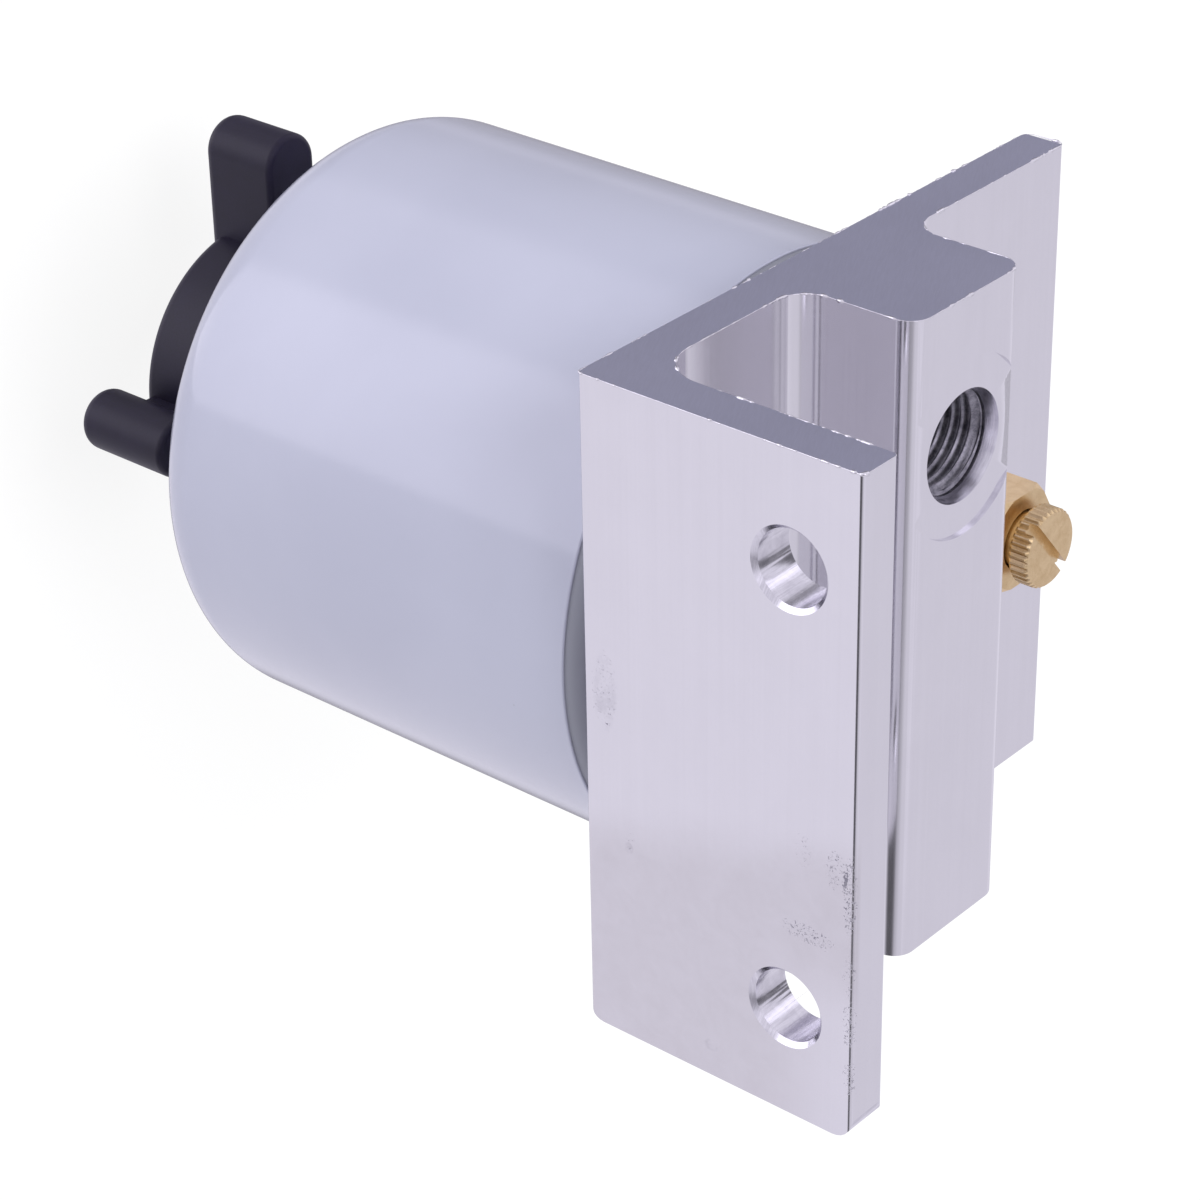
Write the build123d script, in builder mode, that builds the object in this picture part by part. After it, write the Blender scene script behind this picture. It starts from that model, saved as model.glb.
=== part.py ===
from build123d import *
from math import atan2, degrees, sqrt
import os

os.makedirs("parts", exist_ok=True)

# Fuel filter with mounting head, in millimetres.
# The origin is midway between the two bolt holes, on the flange's outer face. +X points out of that face,
# +Z from the canister up to the head, and the head was extruded along Y.

# Head: section of the extrusion and its sawn length
head_length = 83.0
plate_reach = 82.5
plate_thickness = 5.5
flange_height = 37.5
flange_thickness = 5.8
channel_fillet = 6.0
boss_width = 20.5
boss_rise = 15.75
boss_corner_radius = 2.8
boss_root_radius = 4.0
extrusion_edge_radius = 0.6
can_offset = 41.25

# Head: bolt holes in the flange
bolt_spacing = 55.0
bolt_edge_distance = 9.25
bolt_hole_radius = 4.5

# Head: threaded ports and the drillings behind them
port_radius = 6.58
port_depth = 12.0
spotface_radius = 11.0
spotface_depth = 0.4
inlet_offset = 22.7
outlet_rise = 11.25
drilling_radius = 4.0
bore_overrun = 1.0
ring_groove_depth = 2.0
ring_groove_land = 4.0
gasket_land = 2.5

# Nipple
nipple_radius = 8.0
nipple_bore_radius = 5.0
nipple_in_head = 7.75
nipple_below_head = 15.75
nipple_key_flats = 10.6
nipple_key_depth = 8.0
nipple_end_chamfer = 0.8
nipple_socket_spare = 0.5
thread_clearance = 0.05

# Canister shell
can_radius = 38.0
can_wall = 1.0
can_drop = 6.05
can_side_length = 60.1
shoulder_radius = 2.8
knuckle_radius = 7.25
crown_radius = 75.0
drain_land_radius = 13.0
rim_lip_thickness = 0.6

# Seamed lid, gasket and tapping plate
seam_clearance = 0.1
lid_sheet = 0.8
lid_outer_wall = 2.05
lid_inner_wall = 1.45
lid_lap = 3.7
gasket_width = 3.7
gasket_height = 4.0
gasket_clearance = 0.1
gasket_edge_radius = 0.5
tapping_plate_thickness = 4.0
tapping_plate_clearance = 0.3
collar_wall = 3.95
collar_length = 7.4
inlet_hole_radius = 2.5
inlet_hole_count = 8

# Filter element
element_gap = 4.6
element_annulus = 4.1
cap_sheet = 0.8
cap_skirt = 4.0
pleat_height = 47.0
pleat_count = 40
paper_thickness = 0.6
pleat_crest_gap = 0.7
pleat_valley_gap = 0.5
element_clearance = 0.3
grommet_waist = 1.55
grommet_lip = 1.6
grommet_lip_height = 1.2
centre_tube_wall = 0.8
window_width = 6.0
window_height = 6.0
window_pitch = 9.0
window_rows = 5
window_columns = 8
spring_cup_radius = 13.4
spring_cup_depth = 1.5
spring_wire_radius = 1.1
spring_pitch = 5.6
spring_clearance = 0.5

# Drain bush and knob
stem_radius = 5.95
stem_tip_radius = 4.95
bush_wall = 3.0
bush_flange_width = 3.0
bush_flange_height = 3.0
bush_projection = 1.0
bush_thread_length = 9.0
bush_seal_length = 3.0
fit_clearance = 0.05
stop_clearance = 0.3
stem_tip_length = 0.7
stem_tip_drop = 0.3
stem_groove_depth = 1.35
stem_groove_height = 1.6
stem_land_height = 0.6
stem_relief_depth = 1.45
stem_relief_height = 2.4
cross_hole_radius = 1.0
drain_bore_radius = 2.0
hub_radius = 9.0
hub_height = 2.8
knob_radius = 18.8
knob_height = 10.0
knob_wall = 3.0
knob_web = 3.6
knob_lower_edge = 1.6
knob_upper_edge = 1.0
wing_reach = 33.3
wing_width = 8.2
wing_height = 12.0
wing_rise = 0.5
wing_lower_edge = 1.8
wing_upper_edge = 0.8
lug_offset = 25.0
lug_radius = 4.0
lug_web = 2.6
lug_web_height = 7.0
lug_web_drop = 1.2
spout_radius = 5.0
rib_width = 2.4
rib_setback = 1.5

# Air bleed on the free plate
bleed_offset = 21.0
bleed_flats = 12.0
bleed_hex_height = 9.1
bleed_hex_chamfer = 0.6
bleed_stud_radius = 4.95
bleed_stud_length = 3.8
bleed_washer_thickness = 0.8
bleed_washer_width = 1.6
bleed_screw_radius = 2.95
bleed_bore_radius = 1.0
bleed_seal_depth = 4.0
bleed_seal_clearance = 0.6
bleed_thread_length = 4.15
bleed_seat_radius = 2.2
bleed_seat_gap = 0.15
bleed_groove_depth = 0.75
bleed_groove_height = 1.5
bleed_vent_radius = 0.8
bleed_vent_direction = 150.0
bleed_head_radius = 5.0
bleed_head_height = 2.7
bleed_head_gap = 1.25
bleed_head_chamfer = 0.3
knurl_count = 36
knurl_depth = 0.3
slot_width = 1.3
slot_depth = 1.2
slot_direction = -50.0

# Levels and places of the head
flange_tip = bolt_edge_distance
head_underside = flange_tip - flange_height
plate_top = head_underside + plate_thickness
boss_top = plate_top + boss_rise
outlet_level = head_underside + outlet_rise
can_x = -can_offset
boss_near = can_x + boss_width / 2
boss_far = can_x - boss_width / 2
bleed_x = can_x - bleed_offset
nipple_bottom = head_underside - nipple_below_head

# Radii and levels of the canister's rim, from the side inwards
rim_outer = can_radius - shoulder_radius
rim_inner = rim_outer - can_wall
lid_outer = rim_inner - seam_clearance
gasket_outer = lid_outer - lid_sheet - gasket_clearance
gasket_inner = gasket_outer - gasket_width
lid_inner = gasket_inner - gasket_clearance - lid_sheet
lid_floor = head_underside - gasket_height
lid_underside = lid_floor - lid_sheet
side_top = head_underside - can_drop
side_bottom = side_top - can_side_length
shoulder_top = side_top + shoulder_radius
lid_wall_top = lid_floor + lid_outer_wall
rim_top = lid_wall_top + rim_lip_thickness
ring_groove_outer = gasket_inner - gasket_land
ring_groove_inner = nipple_radius + ring_groove_land
ring_groove_roof = head_underside + ring_groove_depth

# Bottom of the canister: a crown sphere, a knuckle and a flat land round the drain
knuckle_x = can_radius - knuckle_radius
crown_centre = side_bottom + sqrt((crown_radius - knuckle_radius) ** 2 - knuckle_x**2)
land_outside = crown_centre - sqrt(crown_radius**2 - drain_land_radius**2)
land_inside = land_outside + can_wall

# Tapping plate and element
tapping_top = lid_floor + lid_inner_wall - lid_sheet
tapping_bottom = tapping_top - tapping_plate_thickness
tapping_radius = lid_inner - tapping_plate_clearance
lid_eye = tapping_radius - lid_lap
collar_inner = nipple_radius + thread_clearance
collar_outer = collar_inner + collar_wall
collar_bottom = tapping_bottom - collar_length
upper_cap_top = tapping_bottom - element_gap
upper_cap_bottom = upper_cap_top - cap_sheet
lower_cap_top = upper_cap_bottom - pleat_height
lower_cap_bottom = lower_cap_top - cap_sheet
cap_outer = can_radius - can_wall - element_annulus
cap_inner = cap_outer - cap_sheet
grommet_inner = collar_outer + fit_clearance
grommet_neck = grommet_inner + grommet_waist
grommet_outer = grommet_neck + grommet_lip
centre_tube_inner = grommet_outer + element_clearance
centre_tube_outer = centre_tube_inner + centre_tube_wall
pleat_inner = centre_tube_outer + element_clearance
pleat_outer = cap_inner - element_clearance
spring_radius = spring_cup_radius + spring_clearance + spring_wire_radius
spring_outer = spring_radius + spring_wire_radius
spring_bottom = crown_centre - sqrt((crown_radius - can_wall) ** 2 - spring_outer**2) + seam_clearance

# Drain: bush in the canister's bottom, stem and knob below it
bush_bottom = land_outside - bush_projection
bush_thread_radius = stem_radius + thread_clearance
bush_seal_radius = stem_tip_radius + fit_clearance
bush_outer = bush_thread_radius + bush_wall
bush_seal_bottom = bush_bottom + bush_thread_length
bush_top = bush_seal_bottom + bush_seal_length
stem_top = bush_top - stem_tip_drop
stem_groove_top = stem_top - stem_tip_length
stem_groove_bottom = stem_groove_top - stem_groove_height
stem_relief_top = stem_groove_bottom - stem_land_height
stem_relief_bottom = stem_relief_top - stem_relief_height
cross_hole_level = (stem_relief_top + stem_relief_bottom) / 2
hub_top = bush_bottom - stop_clearance
knob_top = hub_top - hub_height
knob_bottom = knob_top - knob_height
wing_bottom = knob_top + wing_rise - wing_height
knob_recess_roof = knob_top - knob_web
drain_ring_radius = (stem_groove_depth - fit_clearance) / 2

# Bleed: washer, body, screw and ring
washer_top = plate_top + bleed_washer_thickness
bleed_hex_top = washer_top + bleed_hex_height
bleed_stud_bottom = washer_top - bleed_stud_length
bleed_hole_radius = bleed_stud_radius + fit_clearance
bleed_seal_bottom = bleed_hex_top - bleed_seal_depth
bleed_seal_radius = bleed_screw_radius + bleed_seal_clearance + fit_clearance
bleed_thread_bottom = bleed_seal_bottom - bleed_thread_length
bleed_thread_radius = bleed_screw_radius + thread_clearance
bleed_head_bottom = bleed_hex_top + bleed_head_gap
bleed_head_top = bleed_head_bottom + bleed_head_height
bleed_groove_bottom = bleed_seal_bottom + stop_clearance
bleed_groove_top = bleed_groove_bottom + bleed_groove_height
bleed_ring_inner = bleed_screw_radius - bleed_groove_depth + fit_clearance
bleed_ring_outer = bleed_seal_radius - fit_clearance
bleed_ring_radius = (bleed_ring_outer - bleed_ring_inner) / 2
knurl_groove_side = sqrt(2) * knurl_depth

# Axes and half-section planes, where local x is the radius and local y the level
can_axis = Axis((can_x, 0, 0), (0, 0, 1))
can_half = Plane(origin=(can_x, 0, 0), x_dir=(1, 0, 0), z_dir=(0, -1, 0))
bleed_axis = Axis((bleed_x, 0, 0), (0, 0, 1))
bleed_half = Plane(origin=(bleed_x, 0, 0), x_dir=(1, 0, 0), z_dir=(0, -1, 0))


# One rectangle of a half section, from an inner to an outer radius and from a low to a high level
def band(inner, outer, low, high, mode=Mode.ADD):
    with Locations(((inner + outer) / 2, (low + high) / 2)):
        Rectangle(outer - inner, high - low, mode=mode)


# A level plane with its origin on the canister's axis
def can_level(level):
    return Plane(origin=(can_x, 0, level), x_dir=(1, 0, 0), z_dir=(0, 0, 1))


# Outline of the canister's half section, set in from the outside by the inset
def can_outline(inset):
    land_level = land_outside + inset
    land_radius = sqrt((crown_radius - inset) ** 2 - (crown_centre - land_level) ** 2)
    slope = degrees(atan2(side_bottom - crown_centre, knuckle_x))
    start = degrees(atan2(land_level - crown_centre, land_radius))
    with BuildLine() as outline:
        Line((0, shoulder_top - inset), (0, land_level))
        Line((0, land_level), (land_radius, land_level))
        CenterArc((0, crown_centre), crown_radius - inset, start, slope - start)
        CenterArc((knuckle_x, side_bottom), knuckle_radius - inset, slope, -slope)
        Line((can_radius - inset, side_bottom), (can_radius - inset, side_top))
        CenterArc((rim_outer, side_top), shoulder_radius - inset, 0, 90)
        Line((rim_outer, shoulder_top - inset), (0, shoulder_top - inset))
    return outline.edges()


# Mounting head: one extrusion with flange, plate and boss, sawn to length, then drilled and tapped
with BuildPart() as mounting_head:
    with BuildSketch(Plane.XZ) as head_section:
        with BuildLine():
            Polyline(
                (0, flange_tip),
                (0, head_underside),
                (-plate_reach, head_underside),
                (-plate_reach, plate_top),
                (boss_far, plate_top),
                (boss_far, boss_top),
                (boss_near, boss_top),
                (boss_near, plate_top),
                (-flange_thickness, plate_top),
                (-flange_thickness, flange_tip),
                close=True,
            )
        make_face()
        fillet(head_section.vertices().group_by(Axis.Y)[1].sort_by(Axis.X)[-1], channel_fillet)
        fillet(head_section.vertices().group_by(Axis.Y)[1].sort_by(Axis.X)[1:3], boss_root_radius)
        fillet(head_section.vertices().group_by(Axis.Y)[-2], boss_corner_radius)
        fillet(head_section.vertices().group_by(Axis.X)[0], extrusion_edge_radius)
        fillet(head_section.vertices().group_by(Axis.Y)[-1], extrusion_edge_radius)
        fillet(head_section.vertices().group_by(Axis.Y)[0].sort_by(Axis.X)[-1], extrusion_edge_radius)
    extrude(amount=head_length / 2, both=True)

    # Bolt holes
    with Locations(Plane.YZ):
        with GridLocations(bolt_spacing, 0, 2, 1):
            Hole(bolt_hole_radius, flange_thickness)

    # Inlet port in the boss's top: spot face, tapped wall, drilling down to the ring groove
    with Locations((can_x, -inlet_offset, boss_top)):
        CounterBoreHole(port_radius, spotface_radius, spotface_depth, port_depth)
        Hole(drilling_radius, boss_top - ring_groove_roof)

    # Outlet port in the far end, with its drilling to the middle
    with Locations(Plane(origin=(can_x, head_length / 2, outlet_level), z_dir=(0, 1, 0))):
        Hole(port_radius, port_depth)
        Hole(drilling_radius, head_length / 2)

    # Tapped socket for the nipple, with the bore above it that meets the outlet drilling
    with Locations((can_x, 0, head_underside)):
        Hole(nipple_radius + thread_clearance, nipple_in_head + nipple_socket_spare)
        Hole(nipple_bore_radius, outlet_rise + drilling_radius + bore_overrun)

    # Ring groove over the canister's inlet holes
    with BuildSketch(can_half):
        band(ring_groove_inner, ring_groove_outer, head_underside, ring_groove_roof)
    revolve(axis=can_axis, mode=Mode.SUBTRACT)

    # Tapped hole of the air bleed
    with Locations((bleed_x, 0, plate_top)):
        Hole(bleed_hole_radius, plate_top - ring_groove_roof)

mounting_head.part.label = "mounting_head"
export_step(mounting_head.part, "parts/mounting_head.step")


# Nipple: threaded tube with a hexagon socket in its lower end
with BuildPart() as filter_nipple:
    with BuildSketch(can_half):
        band(nipple_bore_radius, nipple_radius, nipple_bottom, head_underside + nipple_in_head)
    revolve(axis=can_axis)
    chamfer(filter_nipple.edges().filter_by(GeomType.CIRCLE).group_by(SortBy.RADIUS)[-1], nipple_end_chamfer)
    with BuildSketch(can_level(nipple_bottom)):
        RegularPolygon(nipple_key_flats / 2, 6, major_radius=False)
    extrude(amount=nipple_key_depth, mode=Mode.SUBTRACT)

filter_nipple.part.label = "filter_nipple"
export_step(filter_nipple.part, "parts/filter_nipple.step")


# Gasket: square-section ring with rounded sealing edges
with BuildPart() as canister_gasket:
    with BuildSketch(can_half) as gasket_section:
        band(gasket_inner, gasket_outer, lid_floor, head_underside)
        fillet(gasket_section.vertices().group_by(Axis.Y)[-1], gasket_edge_radius)
    revolve(axis=can_axis)

canister_gasket.part.label = "canister_gasket"
export_step(canister_gasket.part, "parts/canister_gasket.step")


# Retainer: pressed lid with an eye, a channel for the gasket and an outer wall for the seam
with BuildPart() as gasket_retainer:
    with BuildSketch(can_half):
        band(lid_inner, lid_outer, lid_underside, lid_floor)
        band(lid_outer - lid_sheet, lid_outer, lid_floor, lid_wall_top)
        band(lid_inner, lid_inner + lid_sheet, lid_floor, lid_floor + lid_inner_wall)
        band(lid_eye, lid_inner + lid_sheet, tapping_top, lid_floor + lid_inner_wall)
    revolve(axis=can_axis)

gasket_retainer.part.label = "gasket_retainer"
export_step(gasket_retainer.part, "parts/gasket_retainer.step")


# Tapping plate: thick disc with a ring of inlet holes and a threaded collar
with BuildPart() as tapping_plate:
    with BuildSketch(can_half):
        band(collar_inner, tapping_radius, tapping_bottom, tapping_top)
        band(collar_inner, collar_outer, collar_bottom, tapping_bottom)
    revolve(axis=can_axis)
    with BuildSketch(can_level(tapping_bottom)):
        with PolarLocations((collar_outer + lid_eye) / 2, inlet_hole_count):
            Circle(inlet_hole_radius)
    extrude(amount=tapping_plate_thickness, mode=Mode.SUBTRACT)

tapping_plate.part.label = "tapping_plate"
export_step(tapping_plate.part, "parts/tapping_plate.step")


# Canister shell: drawn can with a domed bottom, its rim folded in over the lid's outer wall
can_outside = can_outline(0)
can_inside = can_outline(can_wall)
with BuildPart() as canister_shell:
    with BuildSketch(can_half):
        make_face(can_outside)
        band(rim_inner, rim_outer, side_top, rim_top)
        band(gasket_outer + stop_clearance, rim_outer, lid_wall_top, rim_top)
    revolve(axis=can_axis)
    with BuildSketch(can_half):
        make_face(can_inside)
        band(0, rim_inner, side_top, lid_wall_top)
        band(0, bush_outer + fit_clearance, land_outside, land_inside)
    revolve(axis=can_axis, mode=Mode.SUBTRACT)

canister_shell.part.label = "canister_shell"
export_step(canister_shell.part, "parts/canister_shell.step")


# Upper cap of the element: pressed disc with a skirt and an eye for the grommet
with BuildPart() as element_upper_cap:
    with BuildSketch(can_half):
        band(grommet_neck + fit_clearance, cap_outer, upper_cap_bottom, upper_cap_top)
        band(cap_inner, cap_outer, upper_cap_bottom - cap_skirt, upper_cap_bottom)
    revolve(axis=can_axis)

element_upper_cap.part.label = "element_upper_cap"
export_step(element_upper_cap.part, "parts/element_upper_cap.step")


# Grommet: rubber ring that holds the cap's eye in its neck and seals on the collar
with BuildPart() as element_grommet:
    with BuildSketch(can_half):
        band(grommet_inner, grommet_neck, upper_cap_bottom, upper_cap_top)
        band(grommet_inner, grommet_outer, upper_cap_top, upper_cap_top + grommet_lip_height)
        band(grommet_inner, grommet_outer, upper_cap_bottom - grommet_lip_height, upper_cap_bottom)
    revolve(axis=can_axis)

element_grommet.part.label = "element_grommet"
export_step(element_grommet.part, "parts/element_grommet.step")


# Centre tube: cage with rows of windows
with BuildPart() as element_centre_tube:
    with BuildSketch(can_half):
        band(centre_tube_inner, centre_tube_outer, lower_cap_top, upper_cap_bottom)
    revolve(axis=can_axis)
    for row in range(window_rows):
        rise = (row - (window_rows - 1) / 2) * window_pitch
        with Locations(can_level((lower_cap_top + upper_cap_bottom) / 2 + rise)):
            with PolarLocations(0, window_columns // 2, angular_range=180, endpoint=False):
                Box(3 * centre_tube_outer, window_width, window_height, mode=Mode.SUBTRACT)

element_centre_tube.part.label = "element_centre_tube"
export_step(element_centre_tube.part, "parts/element_centre_tube.step")


# Outline of the folded paper: crests at the outer radius and valleys at the inner one, each with its width
def folds(outer, crest, inner, valley):
    points = []
    for fold in range(pleat_count):
        crest_middle = fold * 360 / pleat_count
        valley_middle = crest_middle + 180 / pleat_count
        for radius, width, middle in ((outer, crest, crest_middle), (inner, valley, valley_middle)):
            half = degrees(width / radius) / 2
            points.append(Vector(radius, 0).rotate(Axis.Z, middle - half))
            points.append(Vector(radius, 0).rotate(Axis.Z, middle + half))
    return points


# Pleated media: paper folded to and fro between two circles
with BuildPart() as pleated_media:
    with BuildSketch(can_level(lower_cap_top)):
        with BuildLine():
            Polyline(
                *folds(
                    pleat_outer,
                    pleat_crest_gap + 2 * paper_thickness,
                    pleat_inner + paper_thickness,
                    pleat_valley_gap,
                ),
                close=True,
            )
        make_face()
        with BuildLine():
            Polyline(
                *folds(
                    pleat_outer - paper_thickness,
                    pleat_crest_gap,
                    pleat_inner,
                    pleat_valley_gap + 2 * paper_thickness,
                ),
                close=True,
            )
        make_face(mode=Mode.SUBTRACT)
    extrude(amount=pleat_height)

pleated_media.part.label = "pleated_media"
export_step(pleated_media.part, "parts/pleated_media.step")


# Lower cap of the element: closed disc with a skirt and a pressed cup that centres the spring
with BuildPart() as element_lower_cap:
    with BuildSketch(can_half):
        band(spring_cup_radius - cap_sheet, cap_outer, lower_cap_bottom, lower_cap_top)
        band(cap_inner, cap_outer, lower_cap_top, lower_cap_top + cap_skirt)
        band(0, spring_cup_radius, lower_cap_bottom - spring_cup_depth, lower_cap_top - spring_cup_depth)
        band(
            spring_cup_radius - cap_sheet,
            spring_cup_radius,
            lower_cap_bottom - spring_cup_depth,
            lower_cap_bottom,
        )
    revolve(axis=can_axis)

element_lower_cap.part.label = "element_lower_cap"
export_step(element_lower_cap.part, "parts/element_lower_cap.step")


# Spring: open coil with ground ends, between the lower cap and the canister's bottom
with BuildPart() as element_spring:
    with BuildLine(can_level(spring_bottom)) as coil:
        Helix(spring_pitch, lower_cap_bottom - spring_bottom, spring_radius)
    with BuildSketch(Plane(origin=coil.line @ 0, z_dir=coil.line % 0)):
        Circle(spring_wire_radius)
    sweep(is_frenet=True)
    split(bisect_by=can_level(lower_cap_bottom), keep=Keep.BOTTOM)
    split(bisect_by=can_level(spring_bottom), keep=Keep.TOP)

element_spring.part.label = "element_spring"
export_step(element_spring.part, "parts/element_spring.step")


# Drain bush: flanged and threaded, welded on the land inside the canister's bottom
with BuildPart() as drain_bush:
    with BuildSketch(can_half):
        band(bush_thread_radius, bush_outer, bush_bottom, bush_seal_bottom)
        band(bush_outer, bush_outer + bush_flange_width, land_inside, land_inside + bush_flange_height)
        band(bush_seal_radius, bush_outer, bush_seal_bottom, bush_top)
    revolve(axis=can_axis)

drain_bush.part.label = "drain_bush"
export_step(drain_bush.part, "parts/drain_bush.step")


# Drain knob: moulded disc with two flat wings and two round lugs, a hollow stem above and a spout below
with BuildPart() as drain_knob:
    with BuildSketch(can_level(wing_bottom)):
        SlotOverall(2 * wing_reach, wing_width, rotation=90)
        with GridLocations(2 * lug_offset, 0, 2, 1):
            Circle(lug_radius)
    extrude(amount=wing_height)
    fillet(drain_knob.edges().group_by(Axis.Z)[0], wing_lower_edge)
    fillet(drain_knob.edges().group_by(Axis.Z)[-1], wing_upper_edge)

    # Webs that carry the lugs, and the disc
    with BuildSketch(can_level(knob_top - lug_web_drop)):
        Rectangle(2 * lug_offset, lug_web)
    extrude(amount=-lug_web_height)
    with BuildSketch(can_half) as knob_disc:
        band(0, knob_radius, knob_bottom, knob_top)
        fillet(knob_disc.vertices().group_by(Axis.X)[-1].sort_by(Axis.Y)[0], knob_lower_edge)
        fillet(knob_disc.vertices().group_by(Axis.X)[-1].sort_by(Axis.Y)[-1], knob_upper_edge)
    revolve(axis=can_axis)

    # Hub and stem, then the grooves, the recess round the spout and its ribs
    with BuildSketch(can_half):
        band(0, hub_radius, knob_top, hub_top)
        band(0, stem_radius, hub_top, stem_top)
    revolve(axis=can_axis)
    with BuildSketch(can_half):
        band(stem_radius - stem_relief_depth, stem_radius, stem_relief_bottom, stem_relief_top)
        band(stem_tip_radius, stem_radius, stem_relief_top, stem_top)
        band(stem_tip_radius - stem_groove_depth, stem_tip_radius, stem_groove_bottom, stem_groove_top)
        band(spout_radius, knob_radius - knob_wall, knob_bottom, knob_recess_roof)
        band(0, knob_radius - knob_wall, wing_bottom, knob_bottom)
    revolve(axis=can_axis, mode=Mode.SUBTRACT)
    with BuildSketch(can_level(knob_recess_roof)):
        with PolarLocations(0, 2, angular_range=180, endpoint=False):
            Rectangle(2 * knob_radius - knob_wall, rib_width)
    extrude(amount=knob_bottom + rib_setback - knob_recess_roof)

    # Drain bore from the spout up to the cross hole
    with BuildSketch(can_half):
        band(0, drain_bore_radius, knob_bottom, cross_hole_level)
    revolve(axis=can_axis, mode=Mode.SUBTRACT)
    with Locations(Plane(origin=(can_x, 0, cross_hole_level), z_dir=(0, 1, 0))):
        Cylinder(cross_hole_radius, 2 * stem_radius, mode=Mode.SUBTRACT)

drain_knob.part.label = "drain_knob"
export_step(drain_knob.part, "parts/drain_knob.step")


# O-ring near the stem's tip
with BuildPart() as drain_o_ring:
    with BuildSketch(can_half):
        with Locations((stem_tip_radius - drain_ring_radius, (stem_groove_bottom + stem_groove_top) / 2)):
            Circle(drain_ring_radius)
    revolve(axis=can_axis)

drain_o_ring.part.label = "drain_o_ring"
export_step(drain_o_ring.part, "parts/drain_o_ring.step")


# Bleed washer
with BuildPart() as bleed_washer:
    with BuildSketch(bleed_half):
        band(bleed_hole_radius, bleed_hole_radius + bleed_washer_width, plate_top, washer_top)
    revolve(axis=bleed_axis)

bleed_washer.part.label = "bleed_washer"
export_step(bleed_washer.part, "parts/bleed_washer.step")


# Bleed body: hexagon with a turned chamfer, stud, seal bore, thread, cone seat and side vent
with BuildPart() as bleed_body:
    with BuildSketch(Plane(origin=(bleed_x, 0, washer_top), z_dir=(0, 0, 1))):
        RegularPolygon(bleed_flats / 2, 6, major_radius=False)
    extrude(amount=bleed_hex_height)
    with BuildSketch(bleed_half) as turned_blank:
        band(0, bleed_flats / sqrt(3), washer_top, bleed_hex_top)
        chamfer(turned_blank.vertices().group_by(Axis.X)[-1].sort_by(Axis.Y)[-1], bleed_hex_chamfer)
    revolve(axis=bleed_axis, mode=Mode.INTERSECT)
    with BuildSketch(bleed_half):
        band(0, bleed_stud_radius, bleed_stud_bottom, washer_top)
    revolve(axis=bleed_axis)
    with BuildSketch(bleed_half):
        band(0, bleed_seal_radius, bleed_seal_bottom, bleed_hex_top)
        band(0, bleed_thread_radius, bleed_thread_bottom, bleed_seal_bottom)
        band(0, bleed_bore_radius, bleed_stud_bottom, bleed_thread_bottom)
        with BuildLine():
            Polyline(
                (0, bleed_thread_bottom),
                (bleed_seat_radius, bleed_thread_bottom),
                (bleed_bore_radius, bleed_thread_bottom + bleed_bore_radius - bleed_seat_radius),
                (0, bleed_thread_bottom + bleed_bore_radius - bleed_seat_radius),
                close=True,
            )
        make_face()
    revolve(axis=bleed_axis, mode=Mode.SUBTRACT)
    vent_way = Vector(1, 0, 0).rotate(Axis.Z, bleed_vent_direction)
    vent_level = (bleed_thread_bottom + bleed_seal_bottom) / 2
    with Locations(Plane(origin=(bleed_x, 0, vent_level), z_dir=vent_way)):
        Cylinder(
            bleed_vent_radius, bleed_flats, align=(Align.CENTER, Align.CENTER, Align.MIN), mode=Mode.SUBTRACT
        )

bleed_body.part.label = "bleed_body"
export_step(bleed_body.part, "parts/bleed_body.step")


# Bleed screw: knurled head with a slot, shank with a ring groove, thread and cone tip
with BuildPart() as bleed_screw:
    with BuildSketch(Plane(origin=(bleed_x, 0, bleed_head_bottom), z_dir=(0, 0, 1))):
        Circle(bleed_head_radius)
        with PolarLocations(bleed_head_radius, knurl_count):
            Rectangle(knurl_groove_side, knurl_groove_side, rotation=45, mode=Mode.SUBTRACT)
    extrude(amount=bleed_head_height)
    with BuildSketch(bleed_half) as turned_head:
        band(0, bleed_head_radius, bleed_head_bottom, bleed_head_top)
        chamfer(turned_head.vertices().group_by(Axis.X)[-1], bleed_head_chamfer)
    revolve(axis=bleed_axis, mode=Mode.INTERSECT)
    with BuildSketch(Plane(origin=(bleed_x, 0, bleed_head_top), z_dir=(0, 0, 1))):
        Rectangle(3 * bleed_head_radius, slot_width, rotation=slot_direction)
    extrude(amount=-slot_depth, mode=Mode.SUBTRACT)
    cone_top = bleed_thread_bottom + bleed_seat_gap
    cone_tip = cone_top + bleed_bore_radius - bleed_seat_radius
    with BuildSketch(bleed_half):
        band(0, bleed_screw_radius, cone_top, bleed_head_bottom)
        band(
            bleed_screw_radius - bleed_groove_depth,
            bleed_screw_radius,
            bleed_groove_bottom,
            bleed_groove_top,
            mode=Mode.SUBTRACT,
        )
        with BuildLine():
            Polyline(
                (0, cone_top),
                (bleed_seat_radius, cone_top),
                (bleed_bore_radius, cone_tip),
                (0, cone_tip),
                close=True,
            )
        make_face()
    revolve(axis=bleed_axis)

bleed_screw.part.label = "bleed_screw"
export_step(bleed_screw.part, "parts/bleed_screw.step")


# O-ring in the bleed screw's groove
with BuildPart() as bleed_o_ring:
    with BuildSketch(bleed_half):
        with Locations((bleed_ring_outer - bleed_ring_radius, (bleed_groove_bottom + bleed_groove_top) / 2)):
            Circle(bleed_ring_radius)
    revolve(axis=bleed_axis)

bleed_o_ring.part.label = "bleed_o_ring"
export_step(bleed_o_ring.part, "parts/bleed_o_ring.step")
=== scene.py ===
import math

import bmesh
import bpy
from mathutils import Matrix, Vector


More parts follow.
